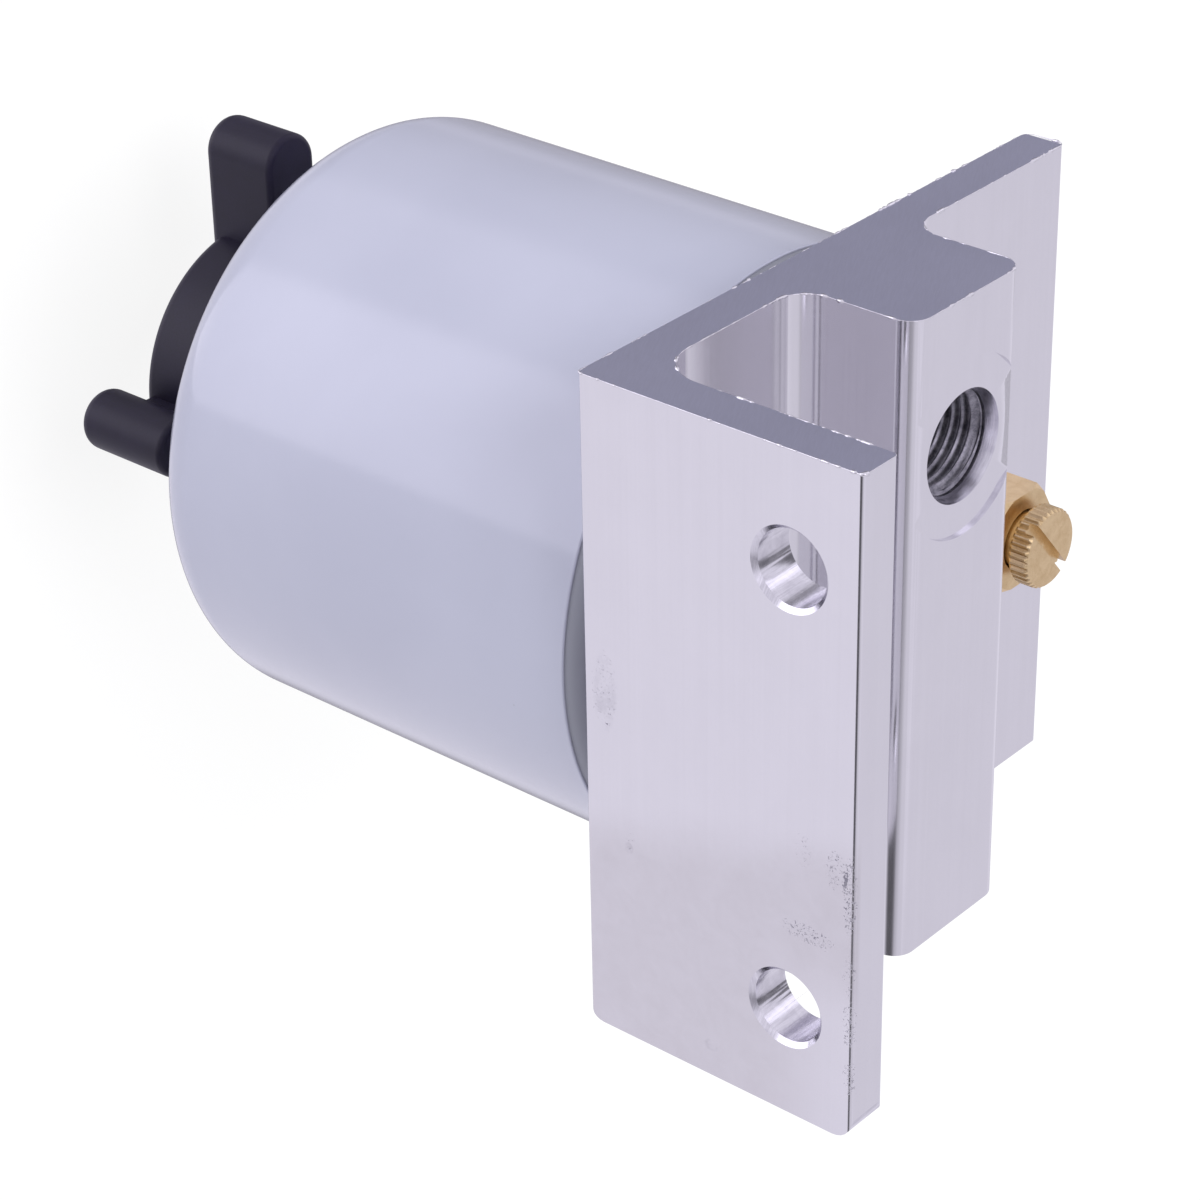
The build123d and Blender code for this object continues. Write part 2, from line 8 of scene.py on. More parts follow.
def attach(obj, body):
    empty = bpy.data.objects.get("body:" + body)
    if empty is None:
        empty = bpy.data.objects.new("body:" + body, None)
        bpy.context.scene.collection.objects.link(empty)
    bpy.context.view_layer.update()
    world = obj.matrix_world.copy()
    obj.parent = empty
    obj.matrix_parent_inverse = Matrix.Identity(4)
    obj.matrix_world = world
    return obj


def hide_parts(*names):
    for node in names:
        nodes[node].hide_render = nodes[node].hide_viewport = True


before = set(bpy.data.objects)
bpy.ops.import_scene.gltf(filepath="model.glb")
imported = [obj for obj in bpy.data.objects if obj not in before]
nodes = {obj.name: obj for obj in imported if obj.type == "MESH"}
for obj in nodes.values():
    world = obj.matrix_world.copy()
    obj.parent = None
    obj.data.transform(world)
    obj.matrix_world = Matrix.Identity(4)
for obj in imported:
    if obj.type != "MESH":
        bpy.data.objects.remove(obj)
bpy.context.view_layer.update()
mm = 0.001

# Places that several pieces share, in millimetres, as in the part's source
shared = {
    "canX": -41.25,  # axis of the canister and of the ports
    "bleedX": -62.25,  # axis of the air bleed
    "headEnd": 41.5,  # half the sawn length
    "undersideZ": -28.25,
    "plateTopZ": -22.75,
    "bossTopZ": -7.0,
}


# One socket of a node tree, with the maths that Blender has as nodes
class Wire:
    def __init__(self, tree, socket=None):
        self.tree = tree
        self.socket = socket

    # Any node, from its type, its settings, and the values or links of its sockets
    def node(self, kind, settings=None, values=None, out=0):
        made = self.tree.nodes.new(kind)
        for name, value in (settings or {}).items():
            setattr(made, name, value)
        for name, value in (values or {}).items():
            if isinstance(value, Wire):
                self.tree.links.new(value.socket, made.inputs[name])
            else:
                made.inputs[name].default_value = value
        return Wire(self.tree, made.outputs[out]) if made.outputs else made

    def other(self, out):
        return Wire(self.tree, self.socket.node.outputs[out])

    def maths(self, operation, left, right=0.0):
        return self.node("ShaderNodeMath", {"operation": operation}, {0: left, 1: right})

    def __add__(self, value):
        return self.maths("ADD", self, value)

    def __radd__(self, value):
        return self.maths("ADD", value, self)

    def __sub__(self, value):
        return self.maths("SUBTRACT", self, value)

    def __rsub__(self, value):
        return self.maths("SUBTRACT", value, self)

    def __mul__(self, value):
        return self.maths("MULTIPLY", self, value)

    def __rmul__(self, value):
        return self.maths("MULTIPLY", value, self)

    def __truediv__(self, value):
        return self.maths("DIVIDE", self, value)

    def size(self):
        return self.maths("ABSOLUTE", self)

    def lesser(self, value):
        return self.maths("MINIMUM", self, value)

    def greater(self, value):
        return self.maths("MAXIMUM", self, value)

    def above(self, value):
        return self.maths("GREATER_THAN", self, value)

    def part(self):
        return self.maths("FRACT", self)

    # 0 below low, 1 above high, with a soft step between them
    def ease(self, low, high):
        return self.node(
            "ShaderNodeMapRange",
            {"interpolation_type": "SMOOTHSTEP"},
            {0: self, 1: low, 2: high, 3: 0.0, 4: 1.0},
        )

    def blend(self, dark, light):
        return self.node("ShaderNodeMix", {"data_type": "RGBA"}, {0: self, 6: dark, 7: light}, out=2)

    # The three coordinates of a place
    def axes(self):
        split = self.node("ShaderNodeSeparateXYZ", None, {0: self})
        return split, split.other(1), split.other(2)

    # Noise on a place, which may first be turned and stretched
    def grain(self, scale, detail=2.0, roughness=0.5, distortion=0.0, stretch=None, turn=None):
        place = self
        if turn:
            place = self.node("ShaderNodeMapping", None, {"Vector": place, "Rotation": turn})
        if stretch:
            place = self.node("ShaderNodeVectorMath", {"operation": "MULTIPLY"}, {0: place, 1: stretch})
        values = {"Vector": place, "Scale": scale, "Detail": detail}
        values.update({"Roughness": roughness, "Distortion": distortion})
        return self.node("ShaderNodeTexNoise", None, values)

    def bump(self, strength, distance, under=None):
        values = {"Height": self, "Strength": strength, "Distance": distance}
        if under is not None:
            values["Normal"] = under
        return self.node("ShaderNodeBump", None, values)


# The emptied node tree of a material or world, as a wire
def blankTree(owner):
    owner.use_nodes = True
    owner.node_tree.nodes.clear()
    return Wire(owner.node_tree)


# A new material with its wire and the place in object space
def startMaterial(name):
    made = bpy.data.materials.new(name)
    wire = blankTree(made)
    return made, wire, wire.node("ShaderNodeTexCoord").other("Object")


def endMaterial(wire, values):
    shader = wire.node("ShaderNodeBsdfPrincipled", None, values)
    wire.node("ShaderNodeOutputMaterial", None, {"Surface": shader})


# Soft ellipse round a spot of the flange face, 1 inside and 0 outside
def patch(along, across, spot, reach):
    first = (along - spot[0] * mm) / (reach[0] * mm)
    second = (across - spot[1] * mm) / (reach[1] * mm)
    return 1 - (first * first + second * second).ease(0.35, 1.0)


# In all finishes a noise is given by its scale, detail, roughness, distortion, stretch and turn
drawnFinish = {
    "light": (0.798, 0.79, 0.826, 1),
    "dark": (0.758, 0.75, 0.785, 1),
    "dull": (0.68, 0.665, 0.69, 1),
    "pitColour": (0.24, 0.235, 0.28, 1),
    "roughness": 0.1,
    "lines": (2600.0, 3.0, 0.6, 0.0, (1.0, 0.006, 1.0)),
    "wide": (420.0, 2.0, 0.5, 0.0, (1.0, 0.012, 1.0)),
    "clouds": (95.0, 4.0, 0.6, 0.4),
    "stain": (260.0, 4.0, 0.6, 0.5),
    "torn": (2700.0, 5.0, 0.72, 0.8),
    "flangeSkin": (-0.0012, -0.0004),  # along X, where the flange's outer face begins
    # the dull end starts along Y + slope * Z, wanders with the clouds, and leaves the top corner clear
    "dullSlope": 0.31,
    "dullWander": 0.006,
    "dullEdge": (0.006, 0.014),
    "clearTop": (-0.004, 0.008),
    "clearEnd": (0.018, 0.027),
    # middle and reach of the pitted spots on the flange face, along Y and Z, and how dense they are
    "pitted": (
        ((-3.5, -25.3), (6.5, 2.6), 0.16),
        ((14.2, -22.0), (2.6, 1.0), 0.15),
        ((5.8, 2.2), (3.2, 1.6), 0.15),
        ((16.4, 3.0), (1.7, 5.2), 0.19),
        ((6.8, 6.6), (3.4, 1.9), 0.18),
        ((9.5, 8.5), (7.4, 1.0), 0.2),
        ((19.5, 8.5), (3.8, 1.0), 0.17),
        ((26.0, 8.6), (4.2, 1.1), 0.19),
        ((33.0, 8.8), (3.0, 1.0), 0.18),
    ),
    "pitLevel": (0.73, 0.83),
    # darker blots there, given in the same way
    "blots": (
        ((-3.5, -25.2), (5.5, 1.8), 0.16),
        ((15.7, -22.1), (0.9, 0.7), 0.3),
        ((37.4, -10.4), (0.9, 1.1), 0.3),
    ),
}


# Bright drawn aluminium: lines of the die along Y, faint clouds, a duller low end and pits near some edges
def drawnAluminium():
    made, wire, place = startMaterial("drawnAluminium")
    x, y, z = place.axes()
    noises = ("lines", "wide", "clouds", "stain", "torn")
    lines, wide, clouds, stain, torn = (place.grain(*drawnFinish[name]) for name in noises)
    flangeFace = x.ease(*drawnFinish["flangeSkin"])
    dull = y + z * drawnFinish["dullSlope"] + clouds * drawnFinish["dullWander"]
    clear = z.ease(*drawnFinish["clearTop"]) * y.ease(*drawnFinish["clearEnd"])
    dull = dull.ease(*drawnFinish["dullEdge"]) * (1 - clear) * flangeFace
    near, blots = 0, 0
    for spot, reach, dense in drawnFinish["pitted"]:
        near = near + patch(y, z, spot, reach) * dense
    near = near * flangeFace
    pits = (torn + near).ease(*drawnFinish["pitLevel"]) * near.ease(0.0, 0.04)
    for spot, reach, dense in drawnFinish["blots"]:
        blots = blots + patch(y, z, spot, reach) * flangeFace * stain.ease(0.35, 0.6) * dense
    tone = (clouds * 0.5 + lines * 0.25 + wide * 0.35).ease(0.2, 0.85)
    colour = tone.blend(drawnFinish["dark"], drawnFinish["light"])
    colour = (dull * (0.45 + stain * 0.75)).blend(colour, drawnFinish["dull"])
    colour = (pits * 0.85).greater(blots).blend(colour, drawnFinish["pitColour"])
    rough = drawnFinish["roughness"] + lines * 0.06 + dull * 0.06 + stain * 0.04 + pits * 0.3
    relief = (lines * 0.35 + wide * 0.5).bump(0.12, 0.00003)
    relief = (1 - pits).bump(0.6, 0.00005, relief)
    endMaterial(wire, {"Base Color": colour, "Metallic": 1.0, "Roughness": rough, "Normal": relief})
    return made


paintFinish = {
    "light": (0.456, 0.466, 0.602, 1),
    "dark": (0.43, 0.44, 0.573, 1),
    "speck": (0.3, 0.3, 0.37, 1),
    # colour of the bare crimp, darkened as painted shade under the head, then the level and blur where it
    # starts
    "shadedCrimp": (0.255, 0.26, 0.32, 1),
    "shadedCrimpLevel": -34.2,
    "shadedCrimpBlur": 0.08,
    "roughness": 0.32,
    "coatRoughness": 0.06,
    "peel": (520.0, 2.0, 0.45),
    "clouds": (38.0, 3.0, 0.5, 0.3),
    "dustScale": 260.0,
    "dustReach": (0.02, 0.045),
    "dustFree": 0.975,  # share of the dust's cells that stay clean
}


# Gloss paint on the canister: a slight orange peel, faint clouds, a few specks of dust, and painted shade on
# the crimped shoulder under the head
def canisterPaint():
    made, wire, place = startMaterial("canisterPaint")
    peel, clouds = place.grain(*paintFinish["peel"]), place.grain(*paintFinish["clouds"])
    cells = {"Vector": place, "Scale": paintFinish["dustScale"], "Randomness": 1.0}
    dust = wire.node("ShaderNodeTexVoronoi", {"feature": "F1"}, cells)
    pick = wire.node("ShaderNodeSeparateColor", None, {0: dust.other("Color")})
    specks = pick.above(paintFinish["dustFree"]) * (1 - dust.ease(*paintFinish["dustReach"]))
    colour = clouds.ease(0.3, 0.7).blend(paintFinish["dark"], paintFinish["light"])
    colour = (specks * 0.6).blend(colour, paintFinish["speck"])
    # the crimped shoulder above the side is bare and dull, and its colour is darkened further as painted
    # shade from the head above it
    level, blur = paintFinish["shadedCrimpLevel"] * mm, paintFinish["shadedCrimpBlur"] * mm
    shadedBare = place.axes()[2].ease(level - blur, level + blur)
    colour = shadedBare.blend(colour, paintFinish["shadedCrimp"])
    rough = paintFinish["roughness"] + clouds * 0.05 + specks * 0.2 + shadedBare * 0.15
    values = {"Base Color": colour, "Roughness": rough, "Normal": peel.bump(0.06, 0.0001)}
    values["Coat Weight"] = (1 - specks * 0.5) * (1 - shadedBare)
    values["Coat Roughness"] = paintFinish["coatRoughness"]
    endMaterial(wire, values)
    return made


# Finishes of a few noises, each noise with its share in the colour, the roughness and the relief
finishes = {
    # across the end, fine marks of the blade; darker than the drawn faces, partly from the duller sawn
    # finish and partly as painted shade on the end
    "sawnAndShadedAluminium": {
        "dark": (0.44, 0.447, 0.56, 1),
        "light": (0.5, 0.51, 0.635, 1),
        "contrast": (0.3, 0.75),
        "roughness": 0.36,
        "relief": (0.22, 0.00003),
        "sockets": {"Metallic": 0.95},
        "noises": (
            ((5200.0, 3.0, 0.6, 0.0, (0.08, 1.0, 1.0), (0.0, 0.5, 0.0)), (0.4, 0.0, 0.6)),
            ((9000.0, 2.0, 0.7), (0.35, 0.15, 0.4)),
            ((60.0, 3.0, 0.5), (0.3, 0.0, 0.0)),
        ),
    },
    # drilled and turned holes: bright, with rings of the tool and smears
    "boredAluminium": {
        "dark": (0.6, 0.59, 0.64, 1),
        "light": (0.84, 0.83, 0.88, 1),
        "contrast": (0.25, 0.75),
        "roughness": 0.1,
        "relief": (0.3, 0.00004),
        "sockets": {"Metallic": 1.0},
        "noises": (
            ((6000.0, 2.0, 0.6, 0.0, (0.05, 0.05, 1.0)), (0.5, 0.06, 0.5)),
            ((500.0, 3.0, 0.6, 0.6), (0.5, 0.12, 0.5)),
        ),
    },
    # cut threads: darkened as painted shade inside the ports
    "tappedShadedAluminium": {
        "dark": (0.13, 0.127, 0.15, 1),
        "light": (0.38, 0.37, 0.41, 1),
        "contrast": (0.3, 0.7),
        "roughness": 0.24,
        "relief": (0.3, 0.00003),
        "sockets": {"Metallic": 1.0},
        "noises": (
            ((900.0, 4.0, 0.65, 0.5), (0.7, 0.2, 0.0)),
            ((5200.0, 2.0, 0.5), (0.3, 0.0, 1.0)),
        ),
    },
    # tool rings round Z, and warm tarnish in the low places
    "turnedBrass": {
        "dark": (0.66, 0.48, 0.25, 1),
        "light": (0.8, 0.62, 0.36, 1),
        "contrast": (0.3, 0.7),
        "roughness": 0.2,
        "relief": (0.3, 0.00003),
        "sockets": {"Metallic": 1.0},
        "noises": (
            ((7000.0, 2.0, 0.6, 0.0, (0.06, 0.06, 1.0)), (0.0, 0.0, 0.4)),
            ((620.0, 4.0, 0.6, 0.4), (0.7, 0.16, 0.0)),
            ((5200.0, 2.0, 0.5), (0.3, 0.08, 0.6)),
        ),
    },
    # satin black, with a fine spark texture and rubbed places
    "mouldedPlastic": {
        "dark": (0.006, 0.004, 0.015, 1),
        "light": (0.011, 0.008, 0.026, 1),
        "contrast": (0.3, 0.7),
        "roughness": 0.36,
        "relief": (0.22, 0.00005),
        "sockets": {"Specular IOR Level": 0.32},
        "noises": (
            ((3600.0, 2.0, 0.6), (0.4, 0.06, 0.7)),
            ((120.0, 3.0, 0.6, 0.3), (0.6, 0.12, 0.3)),
        ),
    },
    # matt, with a pale bloom
    "sealRubber": {
        "dark": (0.014, 0.014, 0.015, 1),
        "light": (0.035, 0.035, 0.038, 1),
        "contrast": (0.35, 0.75),
        "roughness": 0.55,
        "relief": (0.25, 0.00006),
        "noises": (
            ((260.0, 4.0, 0.6), (1.0, 0.2, 0.4)),
            ((4200.0, 2.0, 0.5), (0.0, 0.0, 0.6)),
        ),
    },
    # zinc: cool grey with fine crystals and a slightly yellow cast in patches
    "platedSteel": {
        "dark": (0.42, 0.42, 0.43, 1),
        "light": (0.62, 0.61, 0.58, 1),
        "contrast": (0.3, 0.7),
        "roughness": 0.3,
        "relief": (0.25, 0.00004),
        "sockets": {"Metallic": 1.0},
        "noises": (
            ((1400.0, 3.0, 0.6), (0.6, 0.15, 1.0)),
            ((120.0, 3.0, 0.5), (0.4, 0.0, 0.0)),
        ),
    },
    # felted fibres, stiffened with resin
    "filterPaper": {
        "dark": (0.5, 0.38, 0.2, 1),
        "light": (0.72, 0.6, 0.38, 1),
        "contrast": (0.3, 0.7),
        "roughness": 0.85,
        "relief": (0.5, 0.0001),
        "noises": (
            ((2600.0, 4.0, 0.7, 1.2), (0.6, 0.0, 1.0)),
            ((140.0, 2.0, 0.5), (0.4, 0.0, 0.0)),
        ),
    },
}


def noisyMaterial(name, finish):
    made, wire, place = startMaterial(name)
    sums = [0, finish["roughness"], 0]
    for noise, shares in finish["noises"]:
        grain = place.grain(*noise)
        for index, share in enumerate(shares):
            if share:
                sums[index] = sums[index] + grain * share
    tone, rough, relief = sums
    colour = tone.ease(*finish["contrast"]).blend(finish["dark"], finish["light"])
    values = {"Base Color": colour, "Roughness": rough, "Normal": relief.bump(*finish["relief"])}
    endMaterial(wire, {**values, **finish.get("sockets", {})})
    return made


drawn = drawnAluminium()
paint = canisterPaint()
sawnShaded, bored, tappedShaded, brass, plastic, rubber, plated, paper = (
    noisyMaterial(name, finish) for name, finish in finishes.items()
)
print("materials ready")

onAxis = 0.01  # radius of a section's points on its axis


def addObject(name, data):
    made = bpy.data.objects.new(name, data)
    bpy.context.scene.collection.objects.link(made)
    return made


# Mesh of points and faces in millimetres as an object in metres
def meshObject(name, points, faces, materials):
    mesh = bpy.data.meshes.new(name)
    mesh.from_pydata([Vector(p) * mm for p in points], [], faces)
    for material in materials:
        mesh.materials.append(material)
    made = addObject(name, mesh)
    tidyMesh(made)
    return made


# Merges doubles and turns every face outwards
def tidyMesh(made):
    work = bmesh.new()
    work.from_mesh(made.data)
    bmesh.ops.remove_doubles(work, verts=work.verts, dist=1e-7)
    bmesh.ops.dissolve_degenerate(work, edges=work.edges, dist=1e-8)
    bmesh.ops.recalc_face_normals(work, faces=work.faces)
    work.to_mesh(made.data)
    work.free()


# Points of an arc from one angle to another in degrees, both ends included
def arc(centre, radius, start, end, steps):
    spots = []
    for step in range(steps + 1):
        turn = math.radians(start + (end - start) * step / steps)
        spots.append((centre[0] + radius * math.cos(turn), centre[1] + radius * math.sin(turn)))
    return spots


# Solid of revolution: a closed section of (radius, level), round a line through origin along 'Z', 'X' or 'Y'
def lathe(name, section, origin, materials, axis="Z", segments=192):
    points, faces = [], []
    count = len(section)
    for step in range(segments):
        turn = 2 * math.pi * step / segments
        for radius, level in section:
            side, front = radius * math.cos(turn), radius * math.sin(turn)
            spot = {"Z": (side, front, level), "X": (level, side, front), "Y": (side, level, front)}[axis]
            points.append((origin[0] + spot[0], origin[1] + spot[1], origin[2] + spot[2]))
    for step in range(segments):
        here, there = step * count, (step + 1) % segments * count
        for index in range(count):
            following = (index + 1) % count
            faces.append((here + index, there + index, there + following, here + following))
    return meshObject(name, points, faces, materials)


# Section for lathe between two radii and two levels
def band(inner, outer, start, end):
    return [(outer, start), (outer, end), (inner, end), (inner, start)]


# Prism of a closed outline of (x, z) between two values of Y
def prism(name, outline, low, high, materials):
    points = [(x, low, z) for x, z in outline] + [(x, high, z) for x, z in outline]
    count = len(outline)
    faces = [tuple(range(count)), tuple(range(2 * count - 1, count - 1, -1))]
    for index in range(count):
        following = (index + 1) % count
        faces.append((index, index + count, following + count, following))
    return meshObject(name, points, faces, materials)


# Upright solid through level outlines of (x, y), each with its Z
def loft(name, rings, materials):
    points = [(x, y, level) for outline, level in rings for x, y in outline]
    count = len(rings[0][0])
    faces = [tuple(range(count)), tuple(range(len(points) - count, len(points)))]
    for ring in range(len(rings) - 1):
        for index in range(count):
            following = (index + 1) % count
            low, high = ring * count, (ring + 1) * count
            faces.append((low + index, low + following, high + following, high + index))
    return meshObject(name, points, faces, materials)


# Loft whose outlines are in (y, z) and whose levels are in X
def sideLoft(name, rings, materials):
    made = loft(name, rings, materials)
    made.data.transform(Matrix(((0, 0, 1, 0), (1, 0, 0, 0), (0, 1, 0, 0), (0, 0, 0, 1))))
    return made


# Outline of a rectangle whose corners have their own radii, from the low left corner round
def roundedPlan(low, high, radii):
    spots = []
    corners = ((low[0], low[1], 180), (high[0], low[1], 270), (high[0], high[1], 0), (low[0], high[1], 90))
    for (x, y, start), radius in zip(corners, radii):
        inX, inY = (1 if x == low[0] else -1), (1 if y == low[1] else -1)
        if radius == 0:
            spots.append((x, y))
        else:
            spots += arc((x + inX * radius, y + inY * radius), radius, start, start + 90, 6)
    return spots


# Plan of a hexagon round (x, 0), from its width across flats and the angle of its first corner
def hexagon(x, flats, start):
    return arc((x, 0), flats / math.sqrt(3), start, start + 300, 5)


# Plan of a bar round (x, 0), from its half sizes
def barPlan(x, wide, deep):
    return [(x - wide, -deep), (x + wide, -deep), (x + wide, deep), (x - wide, deep)]


# Plain mesh of the object with its modifiers worked in
def settle(made):
    bpy.context.view_layer.update()
    seen = made.evaluated_get(bpy.context.evaluated_depsgraph_get())
    mesh = bpy.data.meshes.new_from_object(seen)
    made.modifiers.clear()
    made.data = mesh
    return made


def combine(made, tool, operation="DIFFERENCE"):
    step = made.modifiers.new("cut", "BOOLEAN")
    step.operation = operation
    step.solver = "EXACT"
    step.object = tool
    settle(made)
    bpy.data.objects.remove(tool)
    tidyMesh(made)
    return made


# A turned section cut out of the piece, or joined to it
def turnInto(made, section, origin, material, axis="Z", segments=96, operation="DIFFERENCE"):
    return combine(made, lathe("tool", section, origin, [material], axis, segments), operation)


# An upright block of one plan cut out of the piece, or joined to it
def blockInto(made, plan, low, high, material, operation="DIFFERENCE"):
    return combine(made, loft("tool", [(plan, low), (plan, high)], [material]), operation)


# Broken edges and smooth shading between them
def breakEdges(made, width, segments=2, angle=32.0):
    step = made.modifiers.new("edges", "BEVEL")
    step.width = width * mm
    step.segments = segments
    step.limit_method = "ANGLE"
    step.angle_limit = math.radians(angle)
    step.use_clamp_overlap = True
    step.harden_normals = False
    settle(made)
    smooth(made, 40.0)
    return made


def smooth(made, angle):
    for face in made.data.polygons:
        face.use_smooth = True
    made.data.set_sharp_from_angle(angle=math.radians(angle))
    step = made.modifiers.new("normals", "WEIGHTED_NORMAL")
    step.keep_sharp = True
    step.weight = 100
    settle(made)


def finishPiece(made, body, slot, *stoodFor):
    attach(made, body)
    if stoodFor:
        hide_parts(*stoodFor)
    return made


# Smooth turned piece round an upright axis at x, with what finishPiece takes
def turnedPiece(name, section, x, material, segments, *belongs):
    made = lathe(name, section, (x, 0, 0), [material], "Z", segments)
    smooth(made, 50.0)
    return finishPiece(made, *belongs)


# Mounting head
head = {
    "tipZ": 9.25,
    "plateEndX": -82.5,
    "flangeThickness": 5.8,
    "bossNearX": -31.0,
    "bossFarX": -51.5,
    "channelFillet": 6.0,
    "rootRadius": 4.0,
    "cornerRadius": 2.8,
    "edgeRadius": 0.6,
    "endRadii": (1.3, 0.9),
    "flangeCorners": (1.9, 2.6),
    "plateCorner": 0.6,
    "boltY": 27.5,
    "boltRadius": 4.5,
    "boltChamfer": 0.55,
    "inletY": -22.7,
    "outletZ": -17.0,
    "spotRadius": 11.0,
    "spotDepth": 0.4,
    "mouthRadius": 6.85,
    "inletCone": 1.5,
    "outletCone": 1.6,
    "lipRadius": 6.35,
    "lipDepth": 2.3,
    "wallRadius": 6.58,
    "portDepth": 12.0,
    "drillRadius": 4.0,
    "inletDrilling": 19.6,
    "socketRadius": 8.05,
    "socketDepth": 8.25,
    "socketCone": 0.95,
    "ductRadius": 5.0,
    "ductDepth": 16.25,
    "grooveRadii": (12.0, 27.0),
    "grooveDepth": 2.0,
    "studRadius": 5.0,
    "studDepth": 3.5,
    "edge": 0.13,
}


def headOutline():
    inner, tip, back = -head["flangeThickness"], head["tipZ"], head["plateEndX"]
    under, plate, boss = shared["undersideZ"], shared["plateTopZ"], shared["bossTopZ"]
    near, far = head["bossNearX"], head["bossFarX"]
    root, corner, channel = head["rootRadius"], head["cornerRadius"], head["channelFillet"]
    edge, low, high = head["edgeRadius"], head["endRadii"][0], head["endRadii"][1]
    outline = arc((inner + edge, tip - edge), edge, 180, 90, 6)
    outline += arc((-edge, tip - edge), edge, 90, 0, 6)
    outline += arc((-edge, under + edge), edge, 0, -90, 6)
    outline += arc((back + low, under + low), low, -90, -180, 8)
    outline += arc((back + high, plate - high), high, 180, 90, 8)
    outline += arc((far - root, plate + root), root, -90, 0, 14)
    outline += arc((far + corner, boss - corner), corner, 180, 90, 14)
    outline += arc((near - corner, boss - corner), corner, 90, 0, 14)
    outline += arc((near + root, plate + root), root, 180, 270, 14)
    outline += arc((inner - channel, plate + channel), channel, -90, 0, 18)
    return outline


# Section of a port below its face: cone mouth, lip, threaded wall and the drilling behind it
def portSection(face, cone, drilling):
    lip, wall, drill = head["lipRadius"], head["wallRadius"], head["drillRadius"]
    line = [(head["mouthRadius"], -face), (lip, -face - cone), (lip, -head["lipDepth"])]
    line += [(wall, -head["lipDepth"] - 0.05), (wall, -head["portDepth"]), (drill, -head["portDepth"] - 1)]
    return line + [(drill, -drilling), (onAxis, -drilling), (onAxis, 1)]


def makeHead():
    canX, end = shared["canX"], shared["headEnd"]
    under, plate, boss = shared["undersideZ"], shared["plateTopZ"], shared["bossTopZ"]
    made = prism("mountingHead", headOutline(), -end, end, [drawn, sawnShaded, bored, tappedShaded])
    # corners that were knocked off: two of the flange at its low end, two of the free plate
    back, tip, far = head["plateEndX"], head["tipZ"], head["plateCorner"]
    plan = roundedPlan((-end - 1, under), (end, tip), (0, *head["flangeCorners"], 0))
    combine(made, sideLoft("tool", [(plan, back - 1), (plan, 1)], [sawnShaded]), "INTERSECT")
    plan = roundedPlan((back, -end), (1, end), (far, 0, 0, far))
    blockInto(made, plan, under - 1, tip + 1, sawnShaded, "INTERSECT")
    for side in (-1, 1):
        radius, chamfer = head["boltRadius"], head["boltChamfer"]
        section = [(radius + chamfer + 1, 1), (radius, -chamfer), (radius, -8), (onAxis, -8), (onAxis, 1)]
        turnInto(made, section, (0, side * head["boltY"], 0), bored, "X")
    spot, deep = head["spotRadius"], head["spotDepth"]
    port = [(spot, 1), (spot, -deep)] + portSection(deep, head["inletCone"], head["inletDrilling"])
    turnInto(made, port, (canX, head["inletY"], boss), bored, "Z", 128)
    port = [(head["mouthRadius"], 1)] + portSection(0, head["outletCone"], end)
    turnInto(made, port, (canX, end, head["outletZ"]), bored, "Y", 128)
    socket, duct, roof = head["socketRadius"], head["ductRadius"], head["ductDepth"]
    floor, neck = head["socketDepth"], head["socketDepth"] + head["socketCone"]
    section = [(socket, -1), (socket, floor), (duct, neck), (duct, roof), (onAxis, roof), (onAxis, -1)]
    turnInto(made, section, (canX, 0, under), bored)
    inner, outer = head["grooveRadii"]
    turnInto(made, band(inner, outer, -1, head["grooveDepth"]), (canX, 0, under), bored, "Z", 128)
    hole = band(onAxis, head["studRadius"], 1, -head["studDepth"])
    turnInto(made, hole, (shared["bleedX"], 0, plate), bored)
    breakEdges(made, head["edge"])
    markHeadFaces(made)
    return finishPiece(made, "head", "head_aluminium", "mounting_head")


# Gives each face its material, in the order in which makeHead lists them
def markHeadFaces(made):
    isDrawn, isSawnShaded, isBored, isTappedShaded = range(4)
    end, boss = shared["headEnd"], shared["bossTopZ"]
    spotFace = boss - head["spotDepth"]
    outline = headOutline()
    for face in made.data.polygons:
        middle = face.center / mm
        kind = isBored
        inlet = math.hypot(middle.x - shared["canX"], middle.y - head["inletY"])
        # sawn ends: their colour is darkened partly as painted shade
        if abs(middle.y) > end - 0.01 and abs(face.normal.y) > 0.99:
            kind = isSawnShaded
        elif abs(middle.z - spotFace) < 0.01 and face.normal.z > 0.99:
            kind = isDrawn
        # threads of the inlet: their colour is darkened as painted shade
        elif inlet < head["mouthRadius"] and boss - head["portDepth"] - 1 < middle.z < boss - 2.0:
            kind = isTappedShaded
        elif abs(face.normal.y) < 0.02 or abs(middle.y) > end - 0.2:
            off = min(gap(middle.x, middle.z, outline[i - 1], outline[i]) for i in range(len(outline)))
            kind = isDrawn if off < 0.1 else isBored
        face.material_index = kind


# Distance from a spot to the stretch between two others, in the plane of the section
def gap(x, z, first, second):
    dx, dz = second[0] - first[0], second[1] - first[1]
    share = ((x - first[0]) * dx + (z - first[1]) * dz) / (dx * dx + dz * dz)
    share = min(1.0, max(0.0, share))
    return math.hypot(x - first[0] - share * dx, z - first[1] - share * dz)


makeHead()
print("mounting head made")


# Geometry Nodes: a tree with named inputs, whose kinds and defaults follow from the values given
def startTree(name, inputs):
    tree = bpy.data.node_groups.new(name, "GeometryNodeTree")
    tree.interface.new_socket("Geometry", in_out="INPUT", socket_type="NodeSocketGeometry")
    for title, value in inputs.items():
        kind = {float: "NodeSocketFloat", int: "NodeSocketInt"}.get(type(value), "NodeSocketMaterial")
        tree.interface.new_socket(title, in_out="INPUT", socket_type=kind).default_value = value
    tree.interface.new_socket("Geometry", in_out="OUTPUT", socket_type="NodeSocketGeometry")
    wire = Wire(tree)
    entry = wire.node("NodeGroupInput")
    return tree, wire, {title: entry.other(title) for title in ["Geometry", *inputs]}


def endTree(wire, shape, material):
    solid = wire.node("GeometryNodeRealizeInstances", None, {0: shape})
    dressed = wire.node("GeometryNodeSetMaterial", None, {"Geometry": solid, "Material": material})
    wire.node("NodeGroupOutput", None, {0: dressed})


